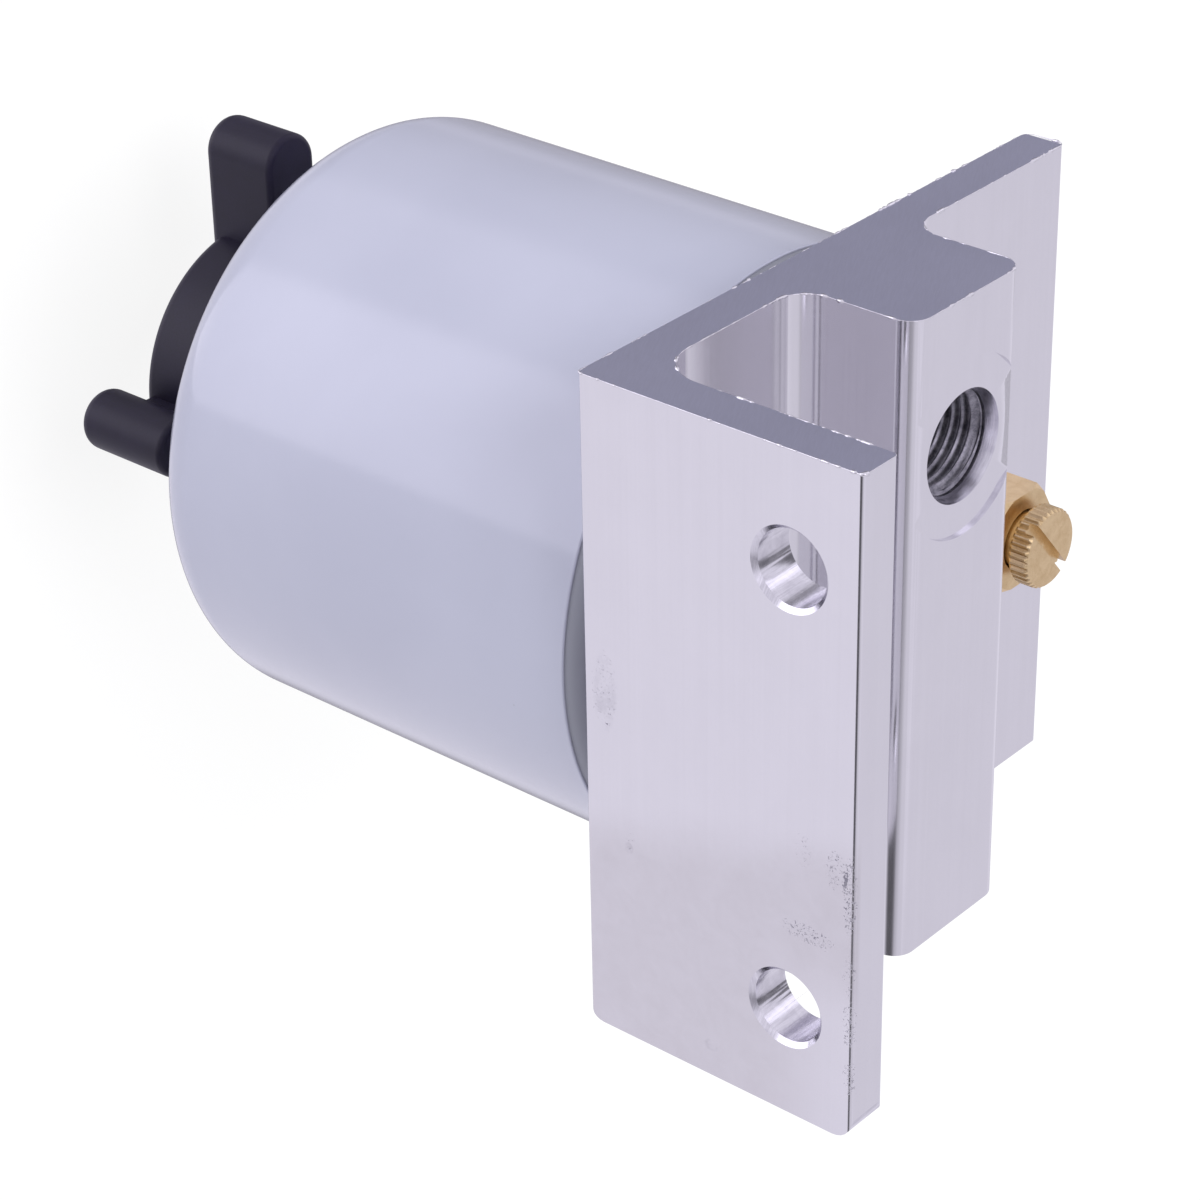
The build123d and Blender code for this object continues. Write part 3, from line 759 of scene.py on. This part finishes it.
# Runs a tree on a mesh, with its inputs set by the identifiers of their sockets
def runTree(name, tree, values, start=None):
    mesh = bpy.data.meshes.new(name)
    if start is not None:
        mesh.from_pydata(*start)
    made = addObject(name, mesh)
    step = made.modifiers.new("tree", "NODES")
    step.node_group = tree
    for item in tree.interface.items_tree:
        if item.item_type == "SOCKET" and item.in_out == "INPUT" and item.name in values:
            step[item.identifier] = values[item.name]
    return settle(made)


# Grid of rows that go once round, with more rows for the back: its sheet, and each point's turn and row
def rowSheet(wire, around, rows):
    grid = {"Size X": 1.0, "Size Y": 1.0, "Vertices X": around + 1, "Vertices Y": rows + 4}
    sheet = wire.node("GeometryNodeMeshGrid", None, grid)
    x, y = wire.node("GeometryNodeInputPosition").axes()[:2]
    return sheet, x + 0.5, wire.maths("ROUND", (y + 0.5) * (rows + 3))


# The sheet wrapped round Z at its points' radii and levels, and closed
def wrapSheet(wire, sheet, turn, radius, level):
    angle = turn * (2 * math.pi)
    spot = {0: radius * wire.maths("COSINE", angle), 1: radius * wire.maths("SINE", angle), 2: level}
    moved = wire.node("ShaderNodeCombineXYZ", None, spot)
    shape = wire.node("GeometryNodeSetPosition", None, {"Geometry": sheet, "Position": moved})
    return wire.node("GeometryNodeMergeByDistance", None, {"Geometry": shape, "Distance": 0.000002})


# Threaded sleeve along Z: its rows climb with the thread, so that the crests are clean lines
def threadTree(inputs):
    tree, wire, given = startTree("threadSleeve", inputs)
    pitch, length, perTurn = given["Pitch"], given["Length"], given["Rows A Turn"]
    rows = wire.maths("CEIL", perTurn * (length / pitch + 1))
    sheet, turn, row = rowSheet(wire, given["Around"], rows)
    backTop = wire.maths("COMPARE", row, rows + 1)
    backTop.socket.node.inputs[2].default_value = 0.5
    backLow = wire.maths("COMPARE", row, rows + 2)
    backLow.socket.node.inputs[2].default_value = 0.5
    closing = row.above(rows + 2.5)
    back = backTop.greater(backLow)
    climb = row * (1 - closing.greater(backLow)) / perTurn
    level = ((climb + turn - 1) * pitch).greater(0.0).lesser(length)
    level = level * (1 - backTop) + length * backTop
    level = level * (1 - backLow.greater(closing))
    wave = 1 - (2 * climb.part() - 1).size()
    wave = (wave * 1.3 - 0.15).greater(0.0).lesser(1.0)
    ends = level.lesser(length - level) * 1.2
    sign = wire.maths("SIGN", given["Wall Radius"] - given["Back Radius"])
    rise = (wave * given["Ridge Height"]).lesser(ends)
    radius = given["Wall Radius"] + sign * rise
    radius = radius * (1 - back) + given["Back Radius"] * back
    endTree(wire, wrapSheet(wire, sheet, turn, radius, level), given["Material"])
    return tree


def threadInputs(thread, material, around=96):
    inputs = {"Around": around, "Rows A Turn": 10, "Material": material}
    for title in ("Wall Radius", "Ridge Height", "Back Radius", "Pitch", "Length"):
        inputs[title] = thread[title.split()[0].lower()] * mm  # the thread's own keys are the first words
    return inputs


pipeThread = {"wall": 6.57, "ridge": 0.8, "back": 6.75, "pitch": 1.337, "length": 9.3, "inset": 11.5}
# the port threads take the tapped finish, darkened as painted shade
threads = threadTree(threadInputs(pipeThread, tappedShaded))


# One threaded sleeve, put in place by its matrix in millimetres
def threadPiece(name, place, *settings):
    made = runTree(name, threads, threadInputs(*settings))
    made.data.transform(Matrix.Scale(mm, 4) @ place @ Matrix.Scale(1 / mm, 4))
    tidyMesh(made)
    smooth(made, 50.0)
    return made


inletPlace = (shared["canX"], head["inletY"], shared["bossTopZ"] - pipeThread["inset"])
outletPlace = (shared["canX"], shared["headEnd"] - pipeThread["inset"], head["outletZ"])
for name, place, turn in (("inletThread", inletPlace, 0), ("outletThread", outletPlace, -math.pi / 2)):
    place = Matrix.Translation(place) @ Matrix.Rotation(turn, 4, "X")
    finishPiece(threadPiece(name, place, pipeThread, tappedShaded), "head", "head_aluminium")
print("port threads made")


# Burrs that the saw left: a thin torn ribbon of bright metal along the edge of one end
burrs = {
    "count": 2400,
    "thinnest": 0.035,
    "thickest": 0.23,
    "wander": 0.07,
    "tear": 900.0,
    "seed": 7.0,
    "inset": 0.06,
}


def burrTree(inputs):
    tree, wire, given = startTree("sawBurrs", inputs)
    path = wire.node("GeometryNodeMeshToCurve", None, {0: given["Geometry"]})
    path = wire.node("GeometryNodeResampleCurve", None, {0: path, "Count": given["Count"]})
    spot = wire.node("GeometryNodeInputPosition")
    fine, broad = (
        wire.node(
            "ShaderNodeTexNoise", {"noise_dimensions": "4D"}, {"Vector": spot, "W": seed, "Scale": scale}
        )
        for seed, scale in ((given["Seed"], given["Tear Scale"]), (given["Seed"] + 5, 160.0))
    )
    torn = fine.ease(0.42, 0.68) * (0.25 + broad.ease(0.4, 0.6))
    thickness = given["Thinnest"] + (given["Thickest"] - given["Thinnest"]) * torn
    aside = {0: fine.other(1), 1: (0.5, 0.5, 0.5)}
    aside = wire.node("ShaderNodeVectorMath", {"operation": "SUBTRACT"}, aside)
    aside = wire.node("ShaderNodeVectorMath", {"operation": "SCALE"}, {0: aside, "Scale": given["Wander"]})
    path = wire.node("GeometryNodeSetPosition", None, {"Geometry": path, "Offset": aside})
    ring = wire.node("GeometryNodeCurvePrimitiveCircle", None, {"Resolution": 5, "Radius": 1.0})
    ribbon = {"Curve": path, "Profile Curve": ring, "Scale": thickness}
    endTree(wire, wire.node("GeometryNodeCurveToMesh", None, ribbon), given["Material"])
    return tree


def makeBurrs():
    end = shared["headEnd"] - burrs["inset"]
    points = [(x * mm, -end * mm, z * mm) for x, z in headOutline()]
    edges = [(index, (index + 1) % len(points)) for index in range(len(points))]
    inputs = {"Count": burrs["count"], "Tear Scale": burrs["tear"], "Seed": burrs["seed"]}
    for title in ("Thinnest", "Thickest", "Wander"):
        inputs[title] = burrs[title.lower()] * mm
    inputs["Material"] = drawn
    made = runTree("sawBurrs", burrTree(inputs), inputs, (points, edges, []))
    tidyMesh(made)
    return finishPiece(made, "head", "head_aluminium")


makeBurrs()
print("saw burrs made")


# Canister shell: drawn can with a domed bottom, its rim folded over the lid
can = {
    "radius": 38.0,
    "wall": 1.0,
    "sideTop": -34.3,
    "sideBottom": -94.4,
    "shoulder": 2.8,
    "crimpStep": 0.35,
    "rimTop": -29.6,
    "rimRadius": 35.2,
    "lipRadius": 33.5,
    "lidWallTop": -30.2,
    "knuckle": 7.25,
    "crown": 75.0,
    "landRadius": 13.0,
    "holeRadius": 9.1,
    "seamRound": 0.5,
    "lipBevel": 0.2,
    "sideEdge": 0.3,
    "sideStep": 15.0,  # between the rows of the side
}


def canSection():
    radius, wall = can["radius"], can["wall"]
    kneeX = radius - can["knuckle"]
    crownZ = can["sideBottom"] + math.sqrt((can["crown"] - can["knuckle"]) ** 2 - kneeX**2)
    slope = math.degrees(math.atan2(can["sideBottom"] - crownZ, kneeX))
    landZ = crownZ - math.sqrt(can["crown"] ** 2 - can["landRadius"] ** 2)

    def bottom(inset, land):
        reach = can["crown"] - inset
        spot = math.sqrt(reach**2 - (crownZ - land) ** 2)
        start = math.degrees(math.atan2(land - crownZ, spot))
        line = arc((kneeX, can["sideBottom"]), can["knuckle"] - inset, 0, slope, 28)
        return line + arc((0, crownZ), reach, slope, start, 24)[1:]

    bend, rim, top = can["seamRound"], can["rimRadius"], can["rimTop"]
    lip, bevel, edge = can["lipRadius"], can["lipBevel"], can["sideEdge"]
    step, side, shoulder = can["crimpStep"], can["sideTop"], can["shoulder"]
    section = [(lip, can["lidWallTop"]), (lip, top - bevel), (lip + bevel, top)]
    section += arc((rim - bend, top - bend), bend, 90, 0, 6)
    section += arc((rim + bend * 0.5, side + shoulder + bend * 0.5), bend * 0.5, 180, 270, 4)
    section += arc((rim, side + step), shoulder - step, 84, 0, 16)
    section += arc((radius - edge, side - edge / 2), edge, 90, 0, 5)
    section += [(radius, side - can["sideStep"] * row) for row in range(1, 4)]
    section += bottom(0.0, landZ)
    section += [(can["holeRadius"], landZ), (can["holeRadius"], landZ + wall)]
    section += list(reversed(bottom(wall, landZ + wall)))
    section += arc((rim, side), shoulder - wall, 0, 90, 8)
    section += [(rim - wall, side + shoulder - wall), (rim - wall, can["lidWallTop"])]
    return section


canX = shared["canX"]
turnedPiece("canisterShell", canSection(), canX, paint, 256, "canister", "canister_paint", "canister_shell")
print("canister shell made")


# Round pieces of the rim: lid and gasket, each with small rounded edges
rim = {
    "round": 0.18,
    "sheet": 0.8,
    "lidRadius": 34.1,
    "lidTop": -30.22,
    "seat": -32.25,  # floor of the lid's groove, on which the gasket stands
    "grooveRadius": 28.6,
    "lap": -30.8,
    "lidHole": 24.6,
    "gasketRadii": (29.5, 33.2),
    "gasketRound": 0.45,
}


# Section with each corner rounded by the same small curve
def softened(corners, bend, steps=4):
    line = []
    count = len(corners)
    for index in range(count):
        here = Vector(corners[index])
        before = (Vector(corners[index - 1]) - here).normalized() * bend
        after = (Vector(corners[(index + 1) % count]) - here).normalized() * bend
        for step in range(steps + 1):
            share = step / steps
            line.append(tuple(here + before * (1 - share) ** 2 + after * share**2))
    return line


def lidSection():
    sheet, outer, inner, hole = rim["sheet"], rim["lidRadius"], rim["grooveRadius"], rim["lidHole"]
    top, seat, lap = rim["lidTop"], rim["seat"], rim["lap"]
    line = [(outer - sheet, top), (outer, top), (outer, seat - sheet), (inner, seat - sheet)]
    line += [(inner, lap - sheet), (hole, lap - sheet), (hole, lap), (inner + sheet, lap)]
    line += [(inner + sheet, seat), (outer - sheet, seat)]
    return softened(line, rim["round"])


turnedPiece("gasketRetainer", lidSection(), canX, plated, 160, "canister", "plated_steel", "gasket_retainer")
inner, outer = rim["gasketRadii"]
seal = softened(band(inner, outer, rim["seat"], shared["undersideZ"]), rim["gasketRound"])
turnedPiece("canisterGasket", seal, canX, rubber, 160, "gasket_ride", "seal_rubber", "canister_gasket")
print("rim pieces made")


# Drain knob: moulded disc with two flat wings and two round lugs, hub, hollow stem and spout
knob = {
    "discRadius": 18.8,
    "discTop": -112.0,
    "discBottom": -122.0,
    "discLowEdge": 1.6,
    "discHighEdge": 1.0,
    "wingTop": -111.5,
    "wingBottom": -123.5,
    "wingLowEdge": 1.8,
    "wingHighEdge": 0.8,
    "wingHalf": 4.1,
    "wingReach": 33.3,
    "lugRadius": 4.0,
    "lugTop": -108.6,
    "lugOffset": 25.0,
    "webHalf": 1.3,
    "webTop": -113.2,
    "webBottom": -120.2,
    "hubRadius": 9.0,
    "hubTop": -109.2,
    "hubFoot": (0.6, 0.5),  # reach and height of the slope at its foot
    "hubEdge": 0.3,
    "stemRadius": 5.1,
    # above the thread: relief, groove of the ring and tip, as radius and Z
    "stemLine": (
        *((5.1, -102.2), (4.5, -102.0), (4.5, -99.8), (4.95, -99.6), (4.95, -99.5)),
        *((3.6, -99.5), (3.6, -97.9), (4.95, -97.9), (4.95, -97.5), (4.65, -97.2)),
    ),
    "thread": {"wall": 5.1, "ridge": 0.85, "back": 4.9, "pitch": 2.0, "length": 6.8},
    "threadLow": -109.0,
    "recessRadius": 15.8,
    "recessRoof": -115.6,
    "spoutRadius": 5.0,
    "ribHalf": 1.2,
    "ribInset": 1.4,  # into the recess's wall
    "ribLow": -120.5,
    "boreRadius": 2.0,
    "crossHoleRadius": 1.0,
    "crossHoleReach": 8.0,
    "crossHoleZ": -100.9,
    "edge": 0.2,
}


# Plan of the two wings in one bar across the axis, set in by the inset
def wingOutline(inset):
    canX, half = shared["canX"], knob["wingHalf"]
    run = knob["wingReach"] - half
    return arc((canX, run), half - inset, 0, 180, 24) + arc((canX, -run), half - inset, 180, 360, 24)


# Levels and insets of a rounded block, from its low edge up to its high edge
def roundedLevels(low, high, lowEdge, highEdge, steps=10):
    levels = []
    for step in range(steps + 1):
        turn = math.pi / 2 * step / steps
        levels.append((lowEdge * (1 - math.sin(turn)), low + lowEdge * (1 - math.cos(turn))))
    for step in range(steps // 2 + 1):
        turn = math.pi / 2 * step / (steps // 2)
        levels.append((highEdge * (1 - math.cos(turn)), high - highEdge * (1 - math.sin(turn))))
    return levels


def makeKnob():
    canX = shared["canX"]
    axis = (canX, 0, 0)
    top, bottom, disc = knob["discTop"], knob["discBottom"], knob["discRadius"]
    hub, hubTop, stem = knob["hubRadius"], knob["hubTop"], knob["stemRadius"]
    levels = roundedLevels(knob["wingBottom"], knob["wingTop"], knob["wingLowEdge"], knob["wingHighEdge"])
    made = loft("drainKnob", [(wingOutline(inset), level) for inset, level in levels], [plastic])
    levels = roundedLevels(knob["wingBottom"], knob["lugTop"], knob["wingLowEdge"], knob["wingHighEdge"])
    lug = [(onAxis, knob["wingBottom"])] + [(knob["lugRadius"] - inset, level) for inset, level in levels]
    for side in (-1, 1):
        place = (canX + side * knob["lugOffset"], 0, 0)
        turnInto(made, lug + [(onAxis, knob["lugTop"])], place, plastic, "Z", 64, "UNION")
    web = barPlan(canX, knob["lugOffset"], knob["webHalf"])
    blockInto(made, web, knob["webBottom"], knob["webTop"], plastic, "UNION")
    levels = roundedLevels(bottom, top, knob["discLowEdge"], knob["discHighEdge"])
    section = [(onAxis, bottom)] + [(disc - inset, level) for inset, level in levels]
    (reach, rise), edge = knob["hubFoot"], knob["hubEdge"]
    section += [(hub + reach, top), (hub, top + rise), (hub, hubTop - edge), (hub - edge, hubTop)]
    section += [(stem, hubTop), *knob["stemLine"], (onAxis, knob["stemLine"][-1][1])]
    turnInto(made, section, axis, plastic, "Z", 160, "UNION")
    # recess under the disc round the spout, with small fillets along its roof
    roof, wall, spout = knob["recessRoof"], knob["recessRadius"], knob["spoutRadius"]
    recess = [(onAxis, bottom - 3), (wall, bottom - 3), (wall - 0.2, roof + 0.3), (wall - 0.5, roof + 0.5)]
    recess += [(spout + 0.4, roof + 0.5), (spout + 0.1, roof + 0.3), (spout, bottom), (onAxis, bottom)]
    turnInto(made, recess, axis, plastic, "Z", 160)
    rib, reach = knob["ribHalf"], wall + knob["ribInset"]
    for wide, deep in ((reach, rib), (rib, reach)):
        blockInto(made, barPlan(canX, wide, deep), knob["ribLow"], roof + 1, plastic, "UNION")
    way, reach = knob["crossHoleZ"], knob["crossHoleReach"]
    turnInto(made, band(onAxis, knob["boreRadius"], bottom - 1, way), axis, plastic, "Z", 64)
    cross = band(onAxis, knob["crossHoleRadius"], -reach, reach)
    turnInto(made, cross, (canX, 0, way), plastic, "Y", 48)
    breakEdges(made, knob["edge"], 2, 38.0)
    return finishPiece(made, "drain_valve", "black_plastic", "drain_knob")


makeKnob()
stemPlace = Matrix.Translation((shared["canX"], 0, knob["threadLow"]))
stemThread = threadPiece("stemThread", stemPlace, knob["thread"], plastic)
finishPiece(stemThread, "drain_valve", "black_plastic")
print("drain knob made")


# Nipple with its thread
nipple = {
    "radius": 8.0,
    "core": 7.2,
    "bore": 5.0,
    "low": -44.0,
    "high": -20.5,
    "pitch": 1.5,
    "threadInset": 0.1,
    "keyFlats": 10.6,
    "keyDepth": 8.0,
    "edge": 0.15,
}


def makeNipple():
    canX, core, bore = shared["canX"], nipple["core"], nipple["bore"]
    low, high, inset = nipple["low"], nipple["high"], nipple["threadInset"]
    made = lathe("nippleCore", band(bore, core, low, high), (canX, 0, 0), [plated], "Z", 96)
    blockInto(made, hexagon(canX, nipple["keyFlats"], 30), low - 1, low + nipple["keyDepth"], plated)
    breakEdges(made, nipple["edge"])
    finishPiece(made, "head", "plated_steel", "filter_nipple")
    wall = core + 0.02
    thread = {"wall": wall, "ridge": nipple["radius"] - wall, "back": core - 0.2}
    thread.update({"pitch": nipple["pitch"], "length": high - low - 2 * inset})
    sleeve = threadPiece("nippleThread", Matrix.Translation((canX, 0, low + inset)), thread, plated)
    finishPiece(sleeve, "head", "plated_steel")


makeNipple()
print("nipple made")


# Air bleed: hexagon body and knurled screw
bleed = {
    "flats": 12.0,
    "washerTop": -21.95,
    "hexTop": -12.85,
    "hexChamfer": 0.6,
    "studRadius": 4.95,
    "studBottom": -25.75,
    "studBevel": 0.3,
    "edge": 0.08,
    # bore of the body, as radius and height over the hexagon's top
    "boreLine": (
        *((4.0, 1.0), (4.0, 0.2), (3.6, -0.35), (3.6, -4.0)),
        *((3.0, -4.0), (3.0, -8.15), (2.2, -8.15), (1.0, -9.35)),
    ),
    "ventRadius": 0.8,
    "ventLength": 9.0,
    "ventZ": -18.925,
    "ventTurn": 150.0,
    "headBottom": -11.6,
    "headTop": -8.9,
    "headRadius": 5.0,
    "knurlDepth": 0.34,
    "knurlBack": 0.6,  # inside the slot, so that the band closes the top
    "knurlCount": 36,
    "slotWidth": 1.3,
    "slotDepth": 1.2,
    "slotTurn": -50.0,
    "slotReach": 8.0,
    "plugRadius": 1.2,  # fills the band's middle under the slot
    "collarRadius": 3.5,
    "collarBottom": -13.7,
    "screwEdge": 0.07,
    # point, threaded part and ring groove of the screw, as radius and Z
    "shankLine": (
        *((1.0, -22.05), (2.2, -20.85), (2.4, -20.85), (2.4, -17.0), (2.95, -16.85)),
        *((2.95, -16.55), (2.2, -16.55), (2.2, -15.05), (2.95, -15.05)),
    ),
    "thread": {"wall": 2.4, "ridge": 0.55, "back": 2.15, "pitch": 1.0, "length": 3.9},
    "threadLow": -20.8,
    "washer": (5.0, 6.6, 0.2),  # inner and outer radius, and round of its edges
}


def makeBleedBody():
    bleedX = shared["bleedX"]
    axis = (bleedX, 0, 0)
    top, low = bleed["hexTop"], bleed["washerTop"]
    plan = hexagon(bleedX, bleed["flats"], 0)
    made = loft("bleedBody", [(plan, low), (plan, top)], [brass])
    corner, chamfer = bleed["flats"] / math.sqrt(3), bleed["hexChamfer"]
    blank = [(onAxis, low - 1), (corner + 0.5, low - 1), (corner + 0.5, top - chamfer - 0.5)]
    blank += [(corner - chamfer, top), (onAxis, top)]
    turnInto(made, blank, axis, brass, "Z", 128, "INTERSECT")
    radius, foot, bevel = bleed["studRadius"], bleed["studBottom"], bleed["studBevel"]
    stud = [(onAxis, foot), (radius - bevel, foot), (radius, foot + bevel)]
    stud += [(radius, low + 0.3), (onAxis, low + 0.3)]
    turnInto(made, stud, axis, brass, "Z", 96, "UNION")
    bore = [(reach, top + rise) for reach, rise in bleed["boreLine"]]
    bore += [(bore[-1][0], foot - 1.25), (onAxis, foot - 1.25), (onAxis, top + 1)]
    turnInto(made, bore, axis, brass)
    vent = band(onAxis, bleed["ventRadius"], 0, bleed["ventLength"])
    vent = lathe("tool", vent, (0, 0, 0), [brass], "X", 32)
    place = Matrix.Translation(Vector((bleedX, 0, bleed["ventZ"])) * mm)
    vent.data.transform(place @ Matrix.Rotation(math.radians(bleed["ventTurn"]), 4, "Z"))
    combine(made, vent)
    breakEdges(made, bleed["edge"])
    return finishPiece(made, "head", "brass", "bleed_body")


# Knurled band: straight teeth round Z, cut off at both ends by the turned chamfer
def knurlTree(inputs):
    tree, wire, given = startTree("knurlBand", inputs)
    rows, teeth = given["Rows"], given["Teeth"]
    around = teeth * given["Steps A Tooth"]
    sheet, turn, row = rowSheet(wire, around, rows)
    back = row.above(rows + 0.5) * (1 - row.above(rows + 2.5))
    low = row.above(rows + 1.5)
    level = (row.lesser(rows) / rows) * given["Height"] * (1 - low)
    tooth = 1 - (2 * (turn * teeth).part() - 1).size()
    tooth = (tooth * 1.5 - 0.2).greater(0.0).lesser(1.0)
    ends = level.lesser(given["Height"] - level)
    rise = (tooth * given["Tooth Depth"]).lesser(ends)
    radius = (given["Crest Radius"] - given["Tooth Depth"] + rise) * (1 - back) + given["Back Radius"] * back
    endTree(wire, wrapSheet(wire, sheet, turn, radius, level), given["Material"])
    return tree


def slotPlan():
    turn = math.radians(bleed["slotTurn"])
    plan = []
    for x, y in barPlan(0, bleed["slotReach"], bleed["slotWidth"] / 2):
        aside, along = x * math.cos(turn) - y * math.sin(turn), x * math.sin(turn) + y * math.cos(turn)
        plan.append((shared["bleedX"] + aside, along))
    return plan


def makeBleedScrew():
    bleedX, low, top = shared["bleedX"], bleed["headBottom"], bleed["headTop"]
    shank, collar, plug = bleed["shankLine"][-1][0], bleed["collarRadius"], bleed["plugRadius"]
    foot, floor = bleed["collarBottom"], top - bleed["slotDepth"] - 0.01
    section = [(onAxis, bleed["shankLine"][0][1]), *bleed["shankLine"], (shank, foot), (collar, foot + 0.3)]
    section += [(collar, low + 0.6), (plug, low + 0.6), (plug, floor), (onAxis, floor)]
    made = lathe("bleedScrew", section, (bleedX, 0, 0), [brass], "Z", 128)
    breakEdges(made, bleed["screwEdge"])
    finishPiece(made, "bleed_valve", "brass", "bleed_screw")
    inputs = {
        "Crest Radius": bleed["headRadius"] * mm,
        "Tooth Depth": bleed["knurlDepth"] * mm,
        "Teeth": bleed["knurlCount"],
        "Height": (top - low) * mm,
        "Back Radius": bleed["knurlBack"] * mm,
        "Steps A Tooth": 8,
        "Rows": 16,
        "Material": brass,
    }
    teeth = runTree("bleedKnurl", knurlTree(inputs), inputs)
    teeth.data.transform(Matrix.Translation(Vector((bleedX, 0, low)) * mm))
    tidyMesh(teeth)
    blockInto(teeth, slotPlan(), top - bleed["slotDepth"], top + 1, brass)
    smooth(teeth, 35.0)
    finishPiece(teeth, "bleed_valve", "brass")
    place = Matrix.Translation((bleedX, 0, bleed["threadLow"]))
    finishPiece(threadPiece("bleedThread", place, bleed["thread"], brass, 72), "bleed_valve", "brass")


makeBleedBody()
makeBleedScrew()
inner, outer, bend = bleed["washer"]
washer = softened(band(inner, outer, shared["plateTopZ"], bleed["washerTop"]), bend)
turnedPiece("bleedWasher", washer, shared["bleedX"], rubber, 96, "head", "seal_rubber", "bleed_washer")
print("air bleed made")

# Pieces that keep their CAD shape
keptNodes = (
    (plated, "tapping_plate drain_bush element_spring"),
    (plated, "element_upper_cap element_centre_tube element_lower_cap"),
    (rubber, "element_grommet drain_o_ring bleed_o_ring"),
    (paper, "pleated_media"),
)
for material, names in keptNodes:
    for name in names.split():
        nodes[name].data.materials.clear()
        nodes[name].data.materials.append(material)
print("CAD pieces dressed")


# Floor, light and camera
stage = {
    "floorZ": -0.1378,
    "floorReach": 4.0,
    "floorColour": (0.86, 0.86, 0.87, 1),
    "floorGlow": 0.82,  # share of plain white that the camera sees on the floor
    "floorWhite": 1.03,
    "ambient": 0.66,
    "mirror": 0.86,
    "mirrorTint": (0.975, 0.94, 1.06, 1),
    "frontPanel": 1.05,
    "frontBearing": ((-72.0, -62.0), (-12.0, -6.0)),
    "frontTop": (-0.25, -0.1),
    "aim": (-0.04, 0.0, -0.06),
    "lampSize": 0.6,
    "lamps": (("keyPanel", (0.15, -0.45, 0.75), 7.0), ("backPanel", (-0.6, 0.5, 0.5), 4.0)),
    # the camera fitted to the photo
    "cameraPlace": (261.8797, -212.2844, 201.2301),
    "cameraRight": (-0.6471921, 0.0172974, 0.7621307),
    "cameraDown": (0.3871412, 0.8686864, 0.3090398),
    "lens": 110.838,
    # what bright faces mirror: bearing and elevation of a spot, its inner and outer spread, its level
    "spots": (
        ((143.0, 35.0), (18.0, 34.0), 0.76),
        ((60.0, 50.0), (8.0, 34.0), 0.74),
        ((20.0, 34.0), (10.0, 26.0), 0.4),
        ((29.0, 13.0), (10.0, 23.0), 0.1),
        ((-37.0, 56.0), (8.0, 20.0), 1.9),
        ((-143.0, -35.0), (15.0, 28.0), 0.34),
        ((155.0, -35.0), (18.0, 34.0), 0.35),
        ((-139.0, 30.0), (6.0, 14.0), 1.4),
        ((168.0, 48.0), (5.0, 12.0), 0.15),
    ),
}


def makeFloor():
    mesh = bpy.data.meshes.new("floor")
    reach, level = stage["floorReach"], stage["floorZ"]
    mesh.from_pydata([(x, y, level) for x, y in barPlan(0, reach, reach)], [], [(0, 1, 2, 3)])
    made = addObject("floor", mesh)
    material = bpy.data.materials.new("floorWhite")
    wire = blankTree(material)
    seen = wire.node("ShaderNodeLightPath").other("Is Camera Ray")
    plain = wire.node("ShaderNodeBsdfDiffuse", None, {"Color": stage["floorColour"]})
    glow = wire.node("ShaderNodeEmission", None, {"Color": (1, 1, 1, 1), "Strength": stage["floorWhite"]})
    mixed = wire.node("ShaderNodeMixShader", None, {0: seen * stage["floorGlow"], 1: plain, 2: glow})
    wire.node("ShaderNodeOutputMaterial", None, {"Surface": mixed})
    mesh.materials.append(material)
    made.visible_glossy = False


# World: white to the camera, a plain level to matt surfaces, and soft panels to be mirrored
def makeWorld():
    world = bpy.data.worlds.new("studio")
    bpy.context.scene.world = world
    wire = blankTree(world)
    way = wire.node("ShaderNodeTexCoord").other("Generated")
    x, y, z = way.axes()
    bearing = wire.maths("ARCTAN2", y, x) * (180 / math.pi)
    # panel low in front, mirrored as the light band along the canister
    start, end = stage["frontBearing"]
    front = bearing.ease(*start) * (1 - bearing.ease(*end)) * (1 - z.ease(*stage["frontTop"]))
    mirrored = stage["mirror"] + front * stage["frontPanel"]
    for (turn, lift), (inner, outer), level in stage["spots"]:
        turn, lift = math.radians(turn), math.radians(lift)
        aim = (math.cos(turn) * math.cos(lift), math.sin(turn) * math.cos(lift), math.sin(lift))
        near = wire.node("ShaderNodeVectorMath", {"operation": "DOT_PRODUCT"}, {0: way, 1: aim}, out=1)
        mask = near.ease(math.cos(math.radians(outer)), math.cos(math.radians(inner)))
        mirrored = mirrored * (1 - mask) + level * mask
    paths = wire.node("ShaderNodeLightPath")
    camera, bright = paths.other("Is Camera Ray"), paths.other("Is Glossy Ray")
    bright = bright.greater(paths.other("Is Transmission Ray"))
    level = camera + (1 - camera) * (bright * mirrored + (1 - bright) * stage["ambient"])
    tint = (bright * (1 - camera)).blend((1, 1, 1, 1), stage["mirrorTint"])
    glow = wire.node("ShaderNodeBackground", None, {"Color": tint, "Strength": level})
    wire.node("ShaderNodeOutputWorld", None, {"Surface": glow})
    world.cycles.sampling_method = "NONE"


def softLamp(name, place, level):
    lamp = bpy.data.lights.new(name, "AREA")
    lamp.shape = "SQUARE"
    lamp.size = stage["lampSize"]
    lamp.energy = level
    made = addObject(name, lamp)
    way = Vector(stage["aim"]) - Vector(place)
    made.matrix_world = Matrix.Translation(place) @ way.to_track_quat("-Z", "Y").to_matrix().to_4x4()
    made.visible_glossy = False


def makeCamera():
    data = bpy.data.cameras.new("camera")
    data.sensor_width = 36.0
    data.lens = stage["lens"]
    data.clip_start = 0.01
    data.clip_end = 20.0
    made = addObject("camera", data)
    right, down = (Vector(stage[name]).normalized() for name in ("cameraRight", "cameraDown"))
    turned = Matrix((right, -down, right.cross(-down))).transposed().to_4x4()
    made.matrix_world = Matrix.Translation(Vector(stage["cameraPlace"]) * mm) @ turned
    bpy.context.scene.camera = made


makeFloor()
makeWorld()
for lamp in stage["lamps"]:
    softLamp(*lamp)
makeCamera()
bpy.context.scene.view_settings.view_transform = "Standard"
print("stage set")
